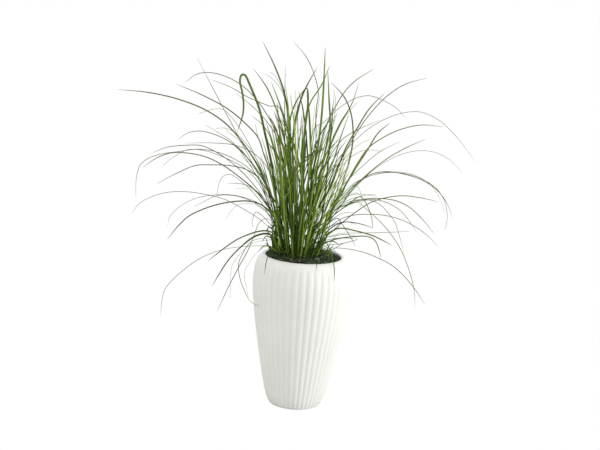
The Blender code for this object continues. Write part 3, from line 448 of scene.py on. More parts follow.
ROUTE_SHARES = (0.0, 0.3, 0.8, 1.0)  # shares of the length that the half widths of these groups are given at
FINE_HALF_WIDTHS = (0.0010, 0.0009, 0.0007, 0.0004)
BASE_HALF_WIDTHS = (0.0022, 0.0024, 0.0017, 0.0006)
LEANING_HALF_WIDTHS = (0.0012, 0.0014, 0.0012, 0.0005)
FOLDED_HALF_WIDTHS = (0.0014, 0.0016, 0.0019, 0.0014)
FOOT_SPREAD, MOST_FOOT_SPREAD = 0.25, 0.03  # how far to its own side of the clump such a blade starts
FOOT_DEPTH_SHARE = 0.3  # depth of the foot, as a share of the tip's
CLEAR_DEPTH_SHARE = 0.5  # share of its way in depth that a blade has gone where it comes clear
HIDDEN_BOW = 0.12  # how far its hidden part bows to its foot's side, as a share of its way across
FINE_FOLD = 0.3
SIDE_TURN = 0.5  # spread of the turn of a fine blade's face, to the front or the back
FINE_SEED = 8

# Short old stems that stand by themselves round the clump: across and depth of the foot, then the tip as
# seen across and up, all in cm.
STUBBLE = (
    (-8.0, -1.2, -9.9, 43.8),
    (-7.9, 0.8, -9.0, 45.2),
    (-7.4, -2.6, -8.3, 43.8),
    (-7.0, 1.2, -7.7, 46.4),
    (-6.6, -3.6, -7.3, 43.4),
    (-8.1, 0.2, -10.2, 42.4),
    (-6.9, -0.6, -8.8, 44.4),
    (-5.9, -4.2, -6.7, 43.8),
    (-7.6, 2.0, -8.4, 44.6),
    (-6.2, -2.0, -6.9, 45.8),
    (-7.7, -0.4, -7.5, 44.2),
    (-6.4, 0.4, -7.9, 43.0),
    (5.6, -3.0, 6.3, 43.2),
    (6.4, -1.6, 7.6, 43.0),
)
STUBBLE_HALF_WIDTHS = (0.0014, 0.0016, 0.0005)
STUBBLE_BEND, STUBBLE_BOW = 0.002, 0.004  # of a stem's middle: spread to the sides, and rise
STUBBLE_SEED = 22

CROSSING_STEMS = 9
CROSSING_TIP_HEIGHT, CROSSING_TIP_REACH = 0.62, 0.25  # least height and greatest reach of their two leaves
CROSSING_GAP = 0.06  # greatest distance between the feet of two such leaves
CROSSING_LENGTHS = (0.50, 0.85)  # shares of the leaves' length
CROSSING_KNOTS = 9
CROSSING_EASE = 1.2  # above 1, a stem keeps to its first leaf for longer
CROSSING_STATIONS = (0.0, 0.3, 0.7, 1.0)
CROSSING_HALF_WIDTHS = (0.0012, 0.0012, 0.0009, 0.0004)
CROSSING_FOLD = 0.4
CROSSING_SEED = 6

THATCH_STRANDS = 150  # tries; those that would touch the wall are left out
THATCH_RING = (0.035, 0.083)  # distances from the clump's middle
THATCH_LENGTHS = (0.012, 0.040)
THATCH_RISES = (0.1, 0.9)  # height of a strand's hump, as a share of its length
THATCH_DRAW_IN = 0.3  # share of its length that a strand loses for all of such a rise
THATCH_HUMP = 0.8 * math.pi  # a strand ends before its hump comes right down
THATCH_STRAY, THATCH_CURL = 1.2, 0.35  # spread of a strand's heading off straight out, and at each knot
THATCH_START_REACH, THATCH_REACH = 0.090, 0.096  # how far from the pot's axis it may start and reach
THATCH_HALF_WIDTHS = (0.0009, 0.0009, 0.0007, 0.0005, 0.0)
THATCH_FOLD = 0.4
THATCH_TONES, THATCH_DRYNESS = (0.0, 0.5), (0.0, 0.9)  # least and greatest of each
THATCH_SEED = 7

MIX_FIRST, MIX_SECOND, MIX_RESULT = 6, 7, 2  # the colour sockets of a Mix node


# ---------------------------------------------------------------- view, light and floor
def add_camera():
    """The photo's view: from a little above, panned and rolled as the camera was held."""
    forward = Vector((math.sin(VIEW_PAN), math.cos(VIEW_PAN), 0.0)) * math.cos(VIEW_DOWN)
    forward.z = -math.sin(VIEW_DOWN)
    level = Vector((math.cos(VIEW_PAN), -math.sin(VIEW_PAN), 0.0))
    upright = level.cross(forward)
    right = level * math.cos(VIEW_ROLL) + upright * math.sin(VIEW_ROLL)
    up = upright * math.cos(VIEW_ROLL) - level * math.sin(VIEW_ROLL)
    bpy.ops.object.camera_add(location=VIEW_POINT)
    camera = bpy.context.object
    turn = Matrix((right, up, -forward)).transposed().to_4x4()
    camera.matrix_world = Matrix.Translation(VIEW_POINT) @ turn
    camera.data.lens = LENS_MM
    camera.data.sensor_width = SENSOR_WIDTH_MM
    bpy.context.scene.camera = camera


def by_camera(nodes, links, lit, seen):
    """A shader that is one thing as the camera sees it and another as it lights the object."""
    path = nodes.new("ShaderNodeLightPath")
    mix = nodes.new("ShaderNodeMixShader")
    links.new(path.outputs["Is Camera Ray"], mix.inputs["Fac"])
    links.new(lit, mix.inputs[1])
    links.new(seen, mix.inputs[2])
    return mix.outputs[0]


def add_room():
    """Plain white all round as the camera sees it, and a slightly warmer and stronger white as light."""
    scene = bpy.context.scene
    scene.view_settings.view_transform = "Standard"
    world = bpy.data.worlds.new("studio")
    scene.world = world
    world.use_nodes = True
    nodes, links = world.node_tree.nodes, world.node_tree.links
    nodes.clear()
    output = nodes.new("ShaderNodeOutputWorld")
    lit = nodes.new("ShaderNodeBackground")
    lit.inputs["Color"].default_value = (*ROOM_TINT, 1.0)
    lit.inputs["Strength"].default_value = ROOM_STRENGTH
    seen = nodes.new("ShaderNodeBackground")
    seen.inputs["Color"].default_value = (1.0, 1.0, 1.0, 1.0)
    seen.inputs["Strength"].default_value = 1.0
    links.new(by_camera(nodes, links, lit.outputs[0], seen.outputs[0]), output.inputs["Surface"])


def add_floor():
    """A pale floor that the camera sees in the same plain white as the room."""
    bpy.ops.mesh.primitive_plane_add(size=FLOOR_SIZE, location=(0.0, 0.0, -FLOOR_GAP))
    floor = bpy.context.object
    floor.name = "floor"
    paint, nodes, links, shader = new_material("pale_floor", roughness=0.9)
    shader.inputs["Base Color"].default_value = (*FLOOR_COLOUR, 1.0)
    white = nodes.new("ShaderNodeEmission")
    surface = by_camera(nodes, links, shader.outputs[0], white.outputs[0])
    links.new(surface, nodes["Material Output"].inputs["Surface"])
    floor.data.materials.append(paint)


def add_lights():
    """A small light from the right, and a larger, weaker one from behind at the right."""
    for name, place, size, watts in LIGHTS:
        bpy.ops.object.light_add(type="AREA", location=place)
        light = bpy.context.object
        light.name = name
        light.rotation_euler = (LIGHT_AIM - Vector(place)).to_track_quat("-Z", "Y").to_euler()
        light.data.size = size
        light.data.energy = watts


# ---------------------------------------------------------------- materials
def new_material(name, roughness):
    material = bpy.data.materials.new(name)
    material.use_nodes = True
    nodes, links = material.node_tree.nodes, material.node_tree.links
    shader = nodes["Principled BSDF"]
    shader.inputs["Roughness"].default_value = roughness
    return material, nodes, links, shader


def feed(links, socket, value):
    """Gives a socket its value: another socket, a number or a colour."""
    if isinstance(value, bpy.types.NodeSocket):
        links.new(value, socket)
    elif isinstance(value, (int, float)):
        socket.default_value = value
    else:
        socket.default_value = (*value, 1.0)


def attribute(nodes, name, output="Fac"):
    node = nodes.new("ShaderNodeAttribute")
    node.attribute_name = name
    return node.outputs[output]


def noise_at(nodes, links, place, scale, detail=4.0, roughness=0.55):
    node = nodes.new("ShaderNodeTexNoise")
    links.new(place, node.inputs["Vector"])
    node.inputs["Scale"].default_value = scale
    node.inputs["Detail"].default_value = detail
    node.inputs["Roughness"].default_value = roughness
    return node.outputs["Fac"]


def ramp(nodes, links, value, stops):
    """A value turned into a colour by (value, colour) stops. A colour is three numbers, or one for a grey."""
    node = nodes.new("ShaderNodeValToRGB")
    links.new(value, node.inputs["Fac"])
    elements = node.color_ramp.elements
    while len(elements) < len(stops):
        elements.new(0.5)
    for element, (position, colour) in zip(elements, stops):
        element.position = position
        element.color = (colour, colour, colour, 1.0) if isinstance(colour, float) else (*colour, 1.0)
    return node.outputs["Color"]


def mixed(nodes, links, factor, first, second, blend="MIX"):
    node = nodes.new("ShaderNodeMix")
    node.data_type = "RGBA"
    node.blend_type = blend
    feed(links, node.inputs["Factor"], factor)
    feed(links, node.inputs[MIX_FIRST], first)
    feed(links, node.inputs[MIX_SECOND], second)
    return node.outputs[MIX_RESULT]


def maths(nodes, links, operation, first, second=0.0):
    node = nodes.new("ShaderNodeMath")
    node.operation = operation
    feed(links, node.inputs[0], first)
    feed(links, node.inputs[1], second)
    return node.outputs[0]


def bump(nodes, links, shader, height, strength, distance):
    node = nodes.new("ShaderNodeBump")
    node.inputs["Strength"].default_value = strength
    node.inputs["Distance"].default_value = distance
    links.new(height, node.inputs["Height"])
    links.new(node.outputs["Normal"], shader.inputs["Normal"])


def glaze_material():
    """Satin off-white glaze with faint specks, and painted shade a little greyer in the bottoms of the
    grooves.
    """
    material, nodes, links, shader = new_material("satin_glaze", roughness=0.34)
    place = nodes.new("ShaderNodeTexCoord").outputs["Object"]
    cloud = noise_at(nodes, links, place, scale=9.0, detail=5.0)
    glaze = ramp(nodes, links, cloud, GLAZE_TONES)
    dust = noise_at(nodes, links, place, scale=420.0, detail=2.0)
    specks = ramp(nodes, links, dust, GLAZE_SPECKS)
    faint = maths(nodes, links, "MULTIPLY", specks, GLAZE_SPECK_SHARE)
    speckled = mixed(nodes, links, faint, glaze, GLAZE_SPECK)
    # painted shade, greyer in the bottoms of the grooves
    groove_shade_amount = maths(nodes, links, "MULTIPLY", attribute(nodes, "groove"), GROOVE_SHADE_SHARE)
    links.new(mixed(nodes, links, groove_shade_amount, speckled, GROOVE_SHADE_COLOUR), shader.inputs["Base Color"])
    links.new(ramp(nodes, links, cloud, GLAZE_ROUGHNESS), shader.inputs["Roughness"])
    peel = noise_at(nodes, links, place, scale=150.0, detail=3.0)
    bump(nodes, links, shader, peel, strength=0.12, distance=0.0006)
    shader.inputs["Specular IOR Level"].default_value = GLAZE_SHINE
    return material


def compost_material():
    """Dark, damp compost with brownish fibres and a film of green-black algae."""
    material, nodes, links, shader = new_material("damp_compost", roughness=0.9)
    place = nodes.new("ShaderNodeTexCoord").outputs["Object"]
    lumps = noise_at(nodes, links, place, scale=95.0, detail=8.0, roughness=0.7)
    compost = ramp(nodes, links, lumps, COMPOST_TONES)
    film = ramp(nodes, links, noise_at(nodes, links, place, scale=28.0), ALGAE_FILM)
    links.new(mixed(nodes, links, film, compost, ALGAE), shader.inputs["Base Color"])
    bump(nodes, links, shader, lumps, strength=0.9, distance=0.003)
    return material


def litter_material(name, colours, roughness, grain):
    """A rough bit of ground cover; its colour varies from bit to bit by the tone attribute."""
    material, nodes, links, shader = new_material(name, roughness)
    place = nodes.new("ShaderNodeTexCoord").outputs["Object"]
    speckle = noise_at(nodes, links, place, scale=grain)
    shift = maths(nodes, links, "MULTIPLY", speckle, LITTER_GRAIN_SHARE)
    shifted = maths(nodes, links, "ADD", attribute(nodes, "tone"), shift)
    tone = maths(nodes, links, "SUBTRACT", shifted, LITTER_GRAIN_LEVEL)
    links.new(ramp(nodes, links, tone, tuple(zip(LITTER_STOPS, colours))), shader.inputs["Base Color"])
    bump(nodes, links, shader, speckle, strength=0.6, distance=0.0008)
    return material


def leaf_material():
    """Grass leaf: pale at the sheath, green along the blade and olive to straw at the tip, with long veins.

    The leaf map is (along, across), and the life colour is (tone of the leaf, how dry its tip is, shade).
    """
    material, nodes, links, shader = new_material("grass_leaf", roughness=0.55)
    leaf_map = nodes.new("ShaderNodeUVMap")
    leaf_map.uv_map = "leaf"
    split = nodes.new("ShaderNodeSeparateXYZ")
    links.new(leaf_map.outputs["UV"], split.inputs[0])
    along, across = split.outputs["X"], split.outputs["Y"]
    life = nodes.new("ShaderNodeSeparateColor")
    links.new(attribute(nodes, "life", "Color"), life.inputs[0])
    tone, dry, shade = life.outputs

    place = nodes.new("ShaderNodeTexCoord").outputs["Object"]
    mottle = maths(nodes, links, "SUBTRACT", noise_at(nodes, links, place, scale=60.0, detail=3.0), 0.5)
    shift = maths(nodes, links, "MULTIPLY", mottle, MOTTLE_SHARE)
    green = ramp(nodes, links, maths(nodes, links, "ADD", tone, shift), LEAF_GREENS)

    # fine veins run the whole length; the midrib is a paler line
    stretched = nodes.new("ShaderNodeCombineXYZ")
    links.new(maths(nodes, links, "MULTIPLY", along, VEINS_ALONG), stretched.inputs["X"])
    links.new(maths(nodes, links, "MULTIPLY", across, VEINS_ACROSS), stretched.inputs["Y"])
    vein = noise_at(nodes, links, stretched.outputs[0], scale=1.0, detail=2.0)
    veined = mixed(nodes, links, vein, green, VEIN_TINT, "MULTIPLY")
    off_middle = maths(nodes, links, "ABSOLUTE", maths(nodes, links, "SUBTRACT", across, 0.5))
    ribbed = mixed(nodes, links, ramp(nodes, links, off_middle, MIDRIB_WIDTH), veined, MIDRIB)

    # a pale sheath, a dry tip whose length depends on the leaf, and the shade of the clump over all
    sheathed = mixed(nodes, links, ramp(nodes, links, along, SHEATH_LENGTH), ribbed, SHEATH)
    past_green = maths(nodes, links, "SUBTRACT", maths(nodes, links, "ADD", along, dry), 1.0)
    withered = ramp(nodes, links, tone, WITHERED)
    tipped = mixed(nodes, links, ramp(nodes, links, past_green, WITHER_EASE), sheathed, withered)
    links.new(mixed(nodes, links, shade, tipped, DEEP_SHADE), shader.inputs["Base Color"])
    bump(nodes, links, shader, vein, strength=0.35, distance=0.0003)
    shader.inputs["Specular IOR Level"].default_value = LEAF_SHINE
    return material


# ---------------------------------------------------------------- mesh helpers
def deselect():
    bpy.ops.object.select_all(action="DESELECT")


def pick(thing):
    """Makes one object the active one and the only one selected."""
    deselect()
    thing.select_set(True)
    bpy.context.view_layer.objects.active = thing


def edit(thing, mode):
    """Enters edit mode on one object with nothing selected."""
    pick(thing)
    bpy.ops.object.mode_set(mode="EDIT")
    bpy.ops.mesh.select_mode(type=mode)
    bpy.ops.mesh.select_all(action="DESELECT")


def leave_edit():
    bpy.ops.object.mode_set(mode="OBJECT")


def settle(thing):
    """Puts the object's place into its mesh."""
    pick(thing)
    bpy.ops.object.transform_apply(location=True, rotation=True, scale=True)


def draw_on(rise, growth):
    """Draws the selected ring on, up or down, and makes it wider or narrower round the pot's axis."""
    bpy.ops.mesh.extrude_region_move(TRANSFORM_OT_translate={"value": (0.0, 0.0, rise)})
    bpy.ops.transform.resize(value=(growth, growth, 1.0), center_override=(0.0, 0.0, 0.0))


def shape_of(thing):
    """Vertex positions and faces of an object's mesh."""
    mesh = thing.data
    points = np.empty(len(mesh.vertices) * 3)
    mesh.vertices.foreach_get("co", points)
    return points.reshape(-1, 3), [tuple(face.vertices) for face in mesh.polygons]


def joined_copies(name, patterns, material):
    """One object from copies of small shapes: (points, faces, attributes) each.

    An attribute has a row for each point: one number is kept as it is, two as a UV map and three as a colour.
    """
    points = np.vstack([pattern[0] for pattern in patterns])
    faces = []
    first = 0
    for own_points, own_faces, _ in patterns:
        faces.extend([tuple(k + first for k in face) for face in own_faces])
        first += len(own_points)
    mesh = bpy.data.meshes.new(name)
    mesh.from_pydata(points.tolist(), [], faces)
    for key in patterns[0][2]:
        values = np.vstack([pattern[2][key] for pattern in patterns])
        if values.shape[1] == 1:
            mesh.attributes.new(key, "FLOAT", "POINT").data.foreach_set("value", values.ravel())
        elif values.shape[1] == 2:
            corners = np.empty(len(mesh.loops), int)
            mesh.loops.foreach_get("vertex_index", corners)
            mesh.uv_layers.new(name=key).data.foreach_set("uv", values[corners].ravel())
        else:
            filled = np.column_stack((values, np.ones(len(values))))
            mesh.attributes.new(key, "FLOAT_COLOR", "POINT").data.foreach_set("color", filled.ravel())
    mesh.polygons.foreach_set("use_smooth", np.ones(len(mesh.polygons), bool))
    mesh.materials.append(material)
    mesh.update()
    thing = bpy.data.objects.new(name, mesh)
    bpy.context.scene.collection.objects.link(thing)
    return thing


def finish_piece(piece, slot, *nodes):
    if nodes:
        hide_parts(*nodes)
    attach(piece, "root")


# ---------------------------------------------------------------- pot
def smooth_profile(rows, step):
    """The rows joined by a smooth curve (Catmull-Rom), with a point about every step of its length."""
    rows = np.array(rows)
    knots = np.vstack((2 * rows[0] - rows[1], rows, 2 * rows[-1] - rows[-2]))
    out = []
    for a, b, c, d in zip(knots, knots[1:], knots[2:], knots[3:]):
        count = max(1, round(float(np.linalg.norm(c - b)) / step))
        t = np.linspace(0.0, 1.0, count + 1)[:-1, None]
        square, cube = 2 * a - 5 * b + 4 * c - d, 3 * b - a - 3 * c + d
        out.append((2 * b + (c - a) * t + square * t**2 + cube * t**3) / 2)
    return np.vstack((*out, rows[-1:]))


def flute(pot, outside_rings):
    """Presses the valleys between the ribs into the wall, and puts it slightly out of round."""
    points, _ = shape_of(pot)
    ring = np.arange(len(points)) // (RIB_COUNT * COLUMNS_PER_RIB)  # in the order that they were drawn
    outside = ring < outside_rings
    angle = np.arctan2(points[:, 1], points[:, 0])
    height = points[:, 2]
    phase = np.mod((angle - RIB_TURN) * RIB_COUNT / math.tau + 0.5, 1.0) * 2.0 - 1.0  # 0 on a crest
    rise = np.clip((height - RIB_START) / (RIB_FULL - RIB_START), 0.0, 1.0)
    fall = np.clip((RIB_END - height) / (RIB_END - RIB_FADE), 0.0, 1.0)
    strength = rise * (2 - rise) * fall**0.5 * outside * (ring > 0)  # steep where a rib starts and ends
    valley = 1.0 - np.sqrt(1.0 - (VALLEY_STEEPNESS * np.abs(phase)) ** 2)
    depth = RIB_DEPTH * strength * ((1.0 - VALLEY_SHARE) * phase**2 + VALLEY_SHARE * valley)
    sway = np.zeros(len(points))
    for size, waves, turn, start in OUT_OF_ROUND:
        sway += size * np.sin(waves * angle + turn * height + start)
    reach = np.hypot(points[:, 0], points[:, 1])
    points[:, :2] *= ((reach - depth + sway * outside * (ring >= TRUE_RINGS)) / reach)[:, None]
    pot.data.vertices.foreach_set("co", points.ravel())
    pot.data.update()
    # painted shade: how much the glaze is greyed at the bottom of each valley
    groove_shade_mask = np.abs(phase) ** GROOVE_SHADE_NARROWNESS * strength
    pot.data.attributes.new("groove", "FLOAT", "POINT").data.foreach_set("value", groove_shade_mask)


def make_pot():
    """A wall drawn up ring by ring from the foot, over the lip and down inside, then fluted."""
    outside = smooth_profile(OUTSIDE, PROFILE_STEP)
    profile = np.vstack((outside, np.array(INSIDE_STEPS)))
    deselect()
    bpy.ops.mesh.primitive_circle_add(
        vertices=RIB_COUNT * COLUMNS_PER_RIB, radius=FOOT_FLAT, fill_type="NOTHING"
    )
    pot = bpy.context.object
    pot.name = "ribbed_pot"
    bpy.ops.object.mode_set(mode="EDIT")
    bpy.ops.mesh.select_all(action="SELECT")
    for (low, narrow), (high, wide) in zip(profile, profile[1:]):
        draw_on(high - low, wide / narrow)
    for drop, growth in INSIDE_DRAWS:  # to below the soil, where the hollow is closed
        draw_on(drop, growth)
    bpy.ops.mesh.edge_face_add()
    bpy.ops.mesh.select_all(action="DESELECT")
    bpy.ops.mesh.select_non_manifold()
    bpy.ops.mesh.edge_face_add()
    bpy.ops.mesh.select_all(action="SELECT")
    bpy.ops.mesh.normals_make_consistent(inside=False)
    leave_edit()
    flute(pot, len(outside))
    pick(pot)
    bpy.ops.object.shade_smooth_by_angle(angle=POT_SHARP_ANGLE)
    pot.data.materials.append(glaze_material())
    finish_piece(pot, "glaze", "pot")


# ---------------------------------------------------------------- the frame's blades
def joined_points(node):
    """The distinct points of a frame node, and for each the set of points that it shares an edge with."""
    corners, faces = shape_of(node)
    places = np.round(corners, POINT_DIGITS)
    _, first, same = np.unique(places, axis=0, return_index=True, return_inverse=True)
    same = same.ravel()
    joined = [set() for _ in first]
    for face in faces:
        ring = [int(same[k]) for k in face]
        for a, b in zip(ring, ring[1:] + ring[:1]):
            if a != b:
                joined[a].add(b)
                joined[b].add(a)
    return corners[first], joined


def sections_below(tip, joined):
    """The three-cornered sections of a blade from its tip down: each is the points joined to the last."""
    sections = []
    section, seen = set(joined[tip]), {tip}
    while len(section) == 3:
        sections.append(sorted(section))
        seen |= section
        section = set().union(*(joined[k] for k in section)) - seen
    return sections


def read_blade(points, tip, sections):
    """A blade as (route, half widths, sides), up to its tip. The longest side of a section runs across it."""
    route, widths, sides = [], [], []
    for section in reversed(sections):
        a, b, c = (points[k] for k in section)
        left, right = max(((a, b), (b, c), (c, a)), key=lambda edge: float(np.linalg.norm(edge[1] - edge[0])))
        across = (right - left) / 2
        if sides and float(across @ sides[-1]) < 0:
            across = -across
        route.append((left + right) / 2)
        widths.append(float(np.linalg.norm(across)))
        sides.append(across / widths[-1])
    return np.array((*route, points[tip])), np.array((*widths, 0.0)), np.array((*sides, sides[-1]))


def read_tiller(node):
    """A frame tiller as (foot's centre, sheath's top, blades)."""
    points, joined = joined_points(node)
    in_soil = points[:, 2] < SOIL_TOP - FOOT_DEPTH
    beside_foot = np.hypot(*(points[:, :2] - np.array(CLUMP_CENTRE[:2])).T) < FOOT_REACH
    at_foot = in_soil & beside_foot
    stacks = []
    for tip in range(len(points)):
        if len(joined[tip]) == 3 and not at_foot[tip]:
            sections = sections_below(tip, joined)
            if len(sections) >= LEAST_SECTIONS:
                stacks.append((tip, sections))
    top = np.mean([points[k] for _, sections in stacks for k in sections[-1]], axis=0)
    return points[at_foot].mean(axis=0), top, [read_blade(points, tip, sections) for tip, sections in stacks]


# ---------------------------------------------------------------- one leaf
def leaf_template():
    """A rod of radius 1 and length 1, closed to a point at its tip. Its points are (along, across, thick)."""
    deselect()
    bpy.ops.mesh.primitive_cylinder_add(
        vertices=LEAF_SIDES,
        radius=1.0,
        depth=1.0,
        end_fill_type="NGON",
        location=(0.5, 0.0, 0.0),
        rotation=(0.0, math.pi / 2, 0.0),
    )
    leaf = bpy.context.object
    settle(leaf)
    edit(leaf, "EDGE")  # the mode in which the edges are picked
    leave_edit()
    for edge in leaf.data.edges:
        a, b = (leaf.data.vertices[k].co for k in edge.vertices)
        edge.select = abs(a.x - b.x) > 0.5
    bpy.ops.object.mode_set(mode="EDIT")
    bpy.ops.mesh.subdivide(number_cuts=LEAF_LENGTHWAYS - 1)
    bpy.ops.mesh.select_mode(type="VERT")
    bpy.ops.mesh.select_all(action="DESELECT")
    leave_edit()
    for vertex in leaf.data.vertices:
        vertex.select = vertex.co.x > 0.999
    bpy.ops.object.mode_set(mode="EDIT")
    bpy.ops.mesh.merge(type="CENTER")
    leave_edit()
    template = shape_of(leaf)
    bpy.data.objects.remove(leaf, do_unlink=True)
    return template


def unit(rows):
    return rows / np.maximum(np.linalg.norm(rows, axis=-1, keepdims=True), 1e-9)


def knot_shares(route):
    """How far along a route each of its knots lies, from 0 to 1."""
    reach = np.concatenate(((0.0,), np.cumsum(np.linalg.norm(np.diff(route, axis=0), axis=1))))
    return reach / reach[-1]


def along_route(route, values, shares):
    """values at the route's knots, blended along it: one cubic (Catmull-Rom) between each two knots."""
    knots = knot_shares(route)
    slopes = np.gradient(values, knots, axis=0, edge_order=1)
    spot = np.clip(np.searchsorted(knots, shares, side="right") - 1, 0, len(knots) - 2)
    gap = (knots[spot + 1] - knots[spot])[:, None]
    t = (shares - knots[spot])[:, None] / gap
    return (
        (2 * t**3 - 3 * t**2 + 1) * values[spot]
        + (t**3 - 2 * t**2 + t) * gap * slopes[spot]
        + (-2 * t**3 + 3 * t**2) * values[spot + 1]
        + (t**3 - t**2) * gap * slopes[spot + 1]
    )


def leaf_line(route):
    """The leaf's middle line and how far along it each point lies, with the points closer in a bend."""
    fine = np.linspace(0.0, 1.0, FINE_STEPS * LEAF_LENGTHWAYS + 1)
    line = along_route(route, route, fine)
    before, after = np.repeat(line[:1], FOLD_EASE, axis=0), np.repeat(line[-1:], FOLD_EASE, axis=0)
    padded = np.vstack((before, line, after))
    window = np.full(2 * FOLD_EASE + 1, 1.0 / (2 * FOLD_EASE + 1))
    eased = np.column_stack([np.convolve(axis, window, "valid") for axis in padded.T])
    eased[0], eased[-1] = line[0], line[-1]
    ways = unit(np.diff(eased, axis=0))
    turns = np.concatenate(((0.0,), np.linalg.norm(np.diff(ways, axis=0), axis=1), (0.0,)))
    spread = np.cumsum(1.0 / len(fine) + BEND_SHARE * turns)
    even = np.linspace(spread[0], spread[-1], LEAF_LENGTHWAYS + 1)
    spots = np.rint(np.interp(even, spread, np.arange(len(fine)))).astype(int)
    return eased[spots], fine[spots]


def lay_leaf(template, route, widths, sides, life, fold, swing=0.0):
    """The template bent along a route, and folded at its keel to a V that is tight at the sheath, open above.

    The leaf twists as it arches over, until its face is towards the viewer or, by the swing, beside them.
    """
    tone, dry, shade = life
    points, faces = template
    station = np.clip(np.rint(points[:, 0] * LEAF_LENGTHWAYS).astype(int), 0, LEAF_LENGTHWAYS)
    across, thick = points[:, 1], points[:, 2]

    line, shares = leaf_line(route)
    ways = unit(np.gradient(line, axis=0))
    sides = along_route(route, sides, shares)
    sides = unit(sides - ways * (sides * ways).sum(axis=1)[:, None])
    facing = unit(np.cross(ways, line - np.array(VIEW_POINT)))
    facing = facing * math.cos(swing) + np.cross(ways, facing) * math.sin(swing)
    facing *= np.sign((facing * sides).sum(axis=1)[LEAF_LENGTHWAYS // 2])
    twist = np.interp(shares, *LEAF_TWIST)[:, None]
    sides = unit(sides * (1.0 - twist) + facing * twist)
    normals = np.cross(sides, ways)

    width = np.maximum(np.interp(shares, knot_shares(route), widths), LEAST_HALF_WIDTH)[station]
    folds = np.interp(shares, FOLD_STATIONS, (*SHEATH_FOLDS, fold, fold, TIP_FOLD * fold))[station]
    arm = width / np.sqrt(1.0 + folds**2)
    lift = folds * arm * (np.abs(across) - KEEL_DROP)
    swell = 1.0 + MIDRIB_SWELL * (1.0 - np.abs(across))
    body = LEAF_THICKNESS * thick * swell * np.minimum(1.0, width / FULL_THICKNESS_WIDTH)
    rim = (arm * across)[:, None] * sides[station]
    placed = line[station] + rim + (lift + body)[:, None] * normals[station]

    leaf_map = np.column_stack((shares[station], (across + 1.0) / 2.0))
    shades = shade * np.interp(shares, *SHADE_FADE)[station]
    colours = np.column_stack((np.full(len(points), tone), np.full(len(points), dry), shades))
    return placed, faces, {"leaf": leaf_map, "life": colours}


# ---------------------------------------------------------------- the look of each leaf
def seen_at(point):
    """Where a point is seen against the upright plane through the pot's axis, as (x, z)."""
    share = VIEW_POINT.y / (VIEW_POINT.y - point[1])
    seen = np.array(VIEW_POINT) + (np.array(point) - VIEW_POINT) * share
    return seen[[0, 2]]


def at_depth(x, z, depth):
    """The point at this depth that is seen at (x, z) on the upright plane."""
    share = (depth - VIEW_POINT.y) / -VIEW_POINT.y
    return np.array(VIEW_POINT) + (np.array((x, 0.0, z)) - VIEW_POINT) * share


def level_distance(first, second):
    return math.hypot(first[0] - second[0], first[1] - second[1])


def read_look(tip):
    """The tone and half width in READ_LOOKS of the blade that ends at this point, or None for both."""
    seen_x, seen_z = seen_at(tip)
    for x, z, tone, half_width in READ_LOOKS:
        if math.hypot(seen_x - x / CM, seen_z - z / CM) < SAME_TIP:
            return tone, half_width
    return None, None


def leaf_half_width(solid_half_width, tip):
    """As read from the photo, or else by the rule: an upright leaf is wider than one that arches out."""
    _, half_width = read_look(tip)
    if half_width is not None:
        return half_width / MM
    if level_distance(tip, CLUMP_CENTRE) < UPRIGHT_REACH:
        return UPRIGHT_WIDTH * solid_half_width
    slimmed = ARCHING_WIDTH * solid_half_width - ARCHING_SLIMMING
    return float(np.clip(slimmed, LEAST_HALF_WIDTH, solid_half_width))


def with_sheath(foot, top, blade):
    """A blade's route, half widths and sides as its leaf has them, carried on down the sheath to the soil."""
    route, widths, sides = blade
    widths = leaf_half_width(widths.max(), route[-1]) * (widths / widths.max()) ** LEAF_FULLNESS
    widths[-1] = TIP_WIDTH * widths.max()
    widths = np.concatenate((SHEATH_HALF_WIDTHS, widths[1:]))
    offset = (route[0] - top) * SHEATH_SPREAD
    start = foot + offset + (0.0, 0.0, FOOT_LIFT)
    middle = (foot + top) / 2 + offset
    return np.vstack((start, middle, route)), widths, np.vstack((sides[0], sides[0], sides))


def leaf_life(rng, route):
    """Tone, dryness and shade of a leaf: brighter in front and to the right, where the light comes from.

    Far-reaching leaves are darker and more withered, and leaves that hang low are darker and less shaded.
    """
    foot, tip = route[0], route[-1]
    far = float(np.clip((level_distance(tip, foot) - NEAR_TIP) / (FAR_TIP - NEAR_TIP), 0.0, 1.0))
    low = tip[2] < LOW_TIP
    to_back, to_right = foot[1] - CLUMP_CENTRE.y, foot[0] - CLUMP_CENTRE.x
    # painted light: darker to the back of the clump and brighter to its right, where the key light is
    tone = TONE + PAINTED_LIGHT_TO_BACK * to_back + PAINTED_LIGHT_TO_RIGHT * to_right + TONE_FAR * far + TONE_LOW * low
    tone = float(np.clip(rng.normal(tone, TONE_SPREAD), 0.0, 1.0))
    read_tone, _ = read_look(tip)
    if read_tone is not None:
        tone = read_tone
    dry = rng.uniform(*DRY_SHARES) + DRY_FAR * far
    shade = float(np.clip(rng.normal(SHADE + SHADE_TO_BACK * to_back, SHADE_SPREAD), 0.0, 1.0))
    if low:
        shade *= SHADE_LOW
    return tone, dry, shade


# ---------------------------------------------------------------- the clump
def make_shoots(template, material):
    """One piece for each tiller of the frame. Returns the routes of all their leaves."""
    rng = np.random.default_rng(SHOOT_SEED)
    routes = []
    for name in sorted(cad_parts):
        if not name.startswith("tiller_"):
            continue
        foot, top, blades = read_tiller(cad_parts[name])
        leaves = []
        for blade in blades:
            route, widths, sides = with_sheath(foot, top, blade)
            life = leaf_life(rng, route)
            fold = rng.uniform(*LEAF_FOLDS)
            swing = float(np.clip(rng.normal(0.0, LEAF_SWING), -MOST_SWING, MOST_SWING))
            leaves.append(lay_leaf(template, route, widths / math.cos(swing), sides, life, fold, swing))
            routes.append(route)
        piece = joined_copies(f"shoot_{name[-2:]}", leaves, material)
        finish_piece(piece, "leaf", name)
    return routes


def lay_fine_leaf(rng, template, line, half_widths, fold):
    """A leaf along a line of knots, with its face level across and turned a little at random."""
    side = unit(np.array((1.0, rng.normal(0.0, SIDE_TURN), 0.0)))
    return lay_leaf(template, line, half_widths, np.tile(side, (len(line), 1)), leaf_life(rng, line), fold)


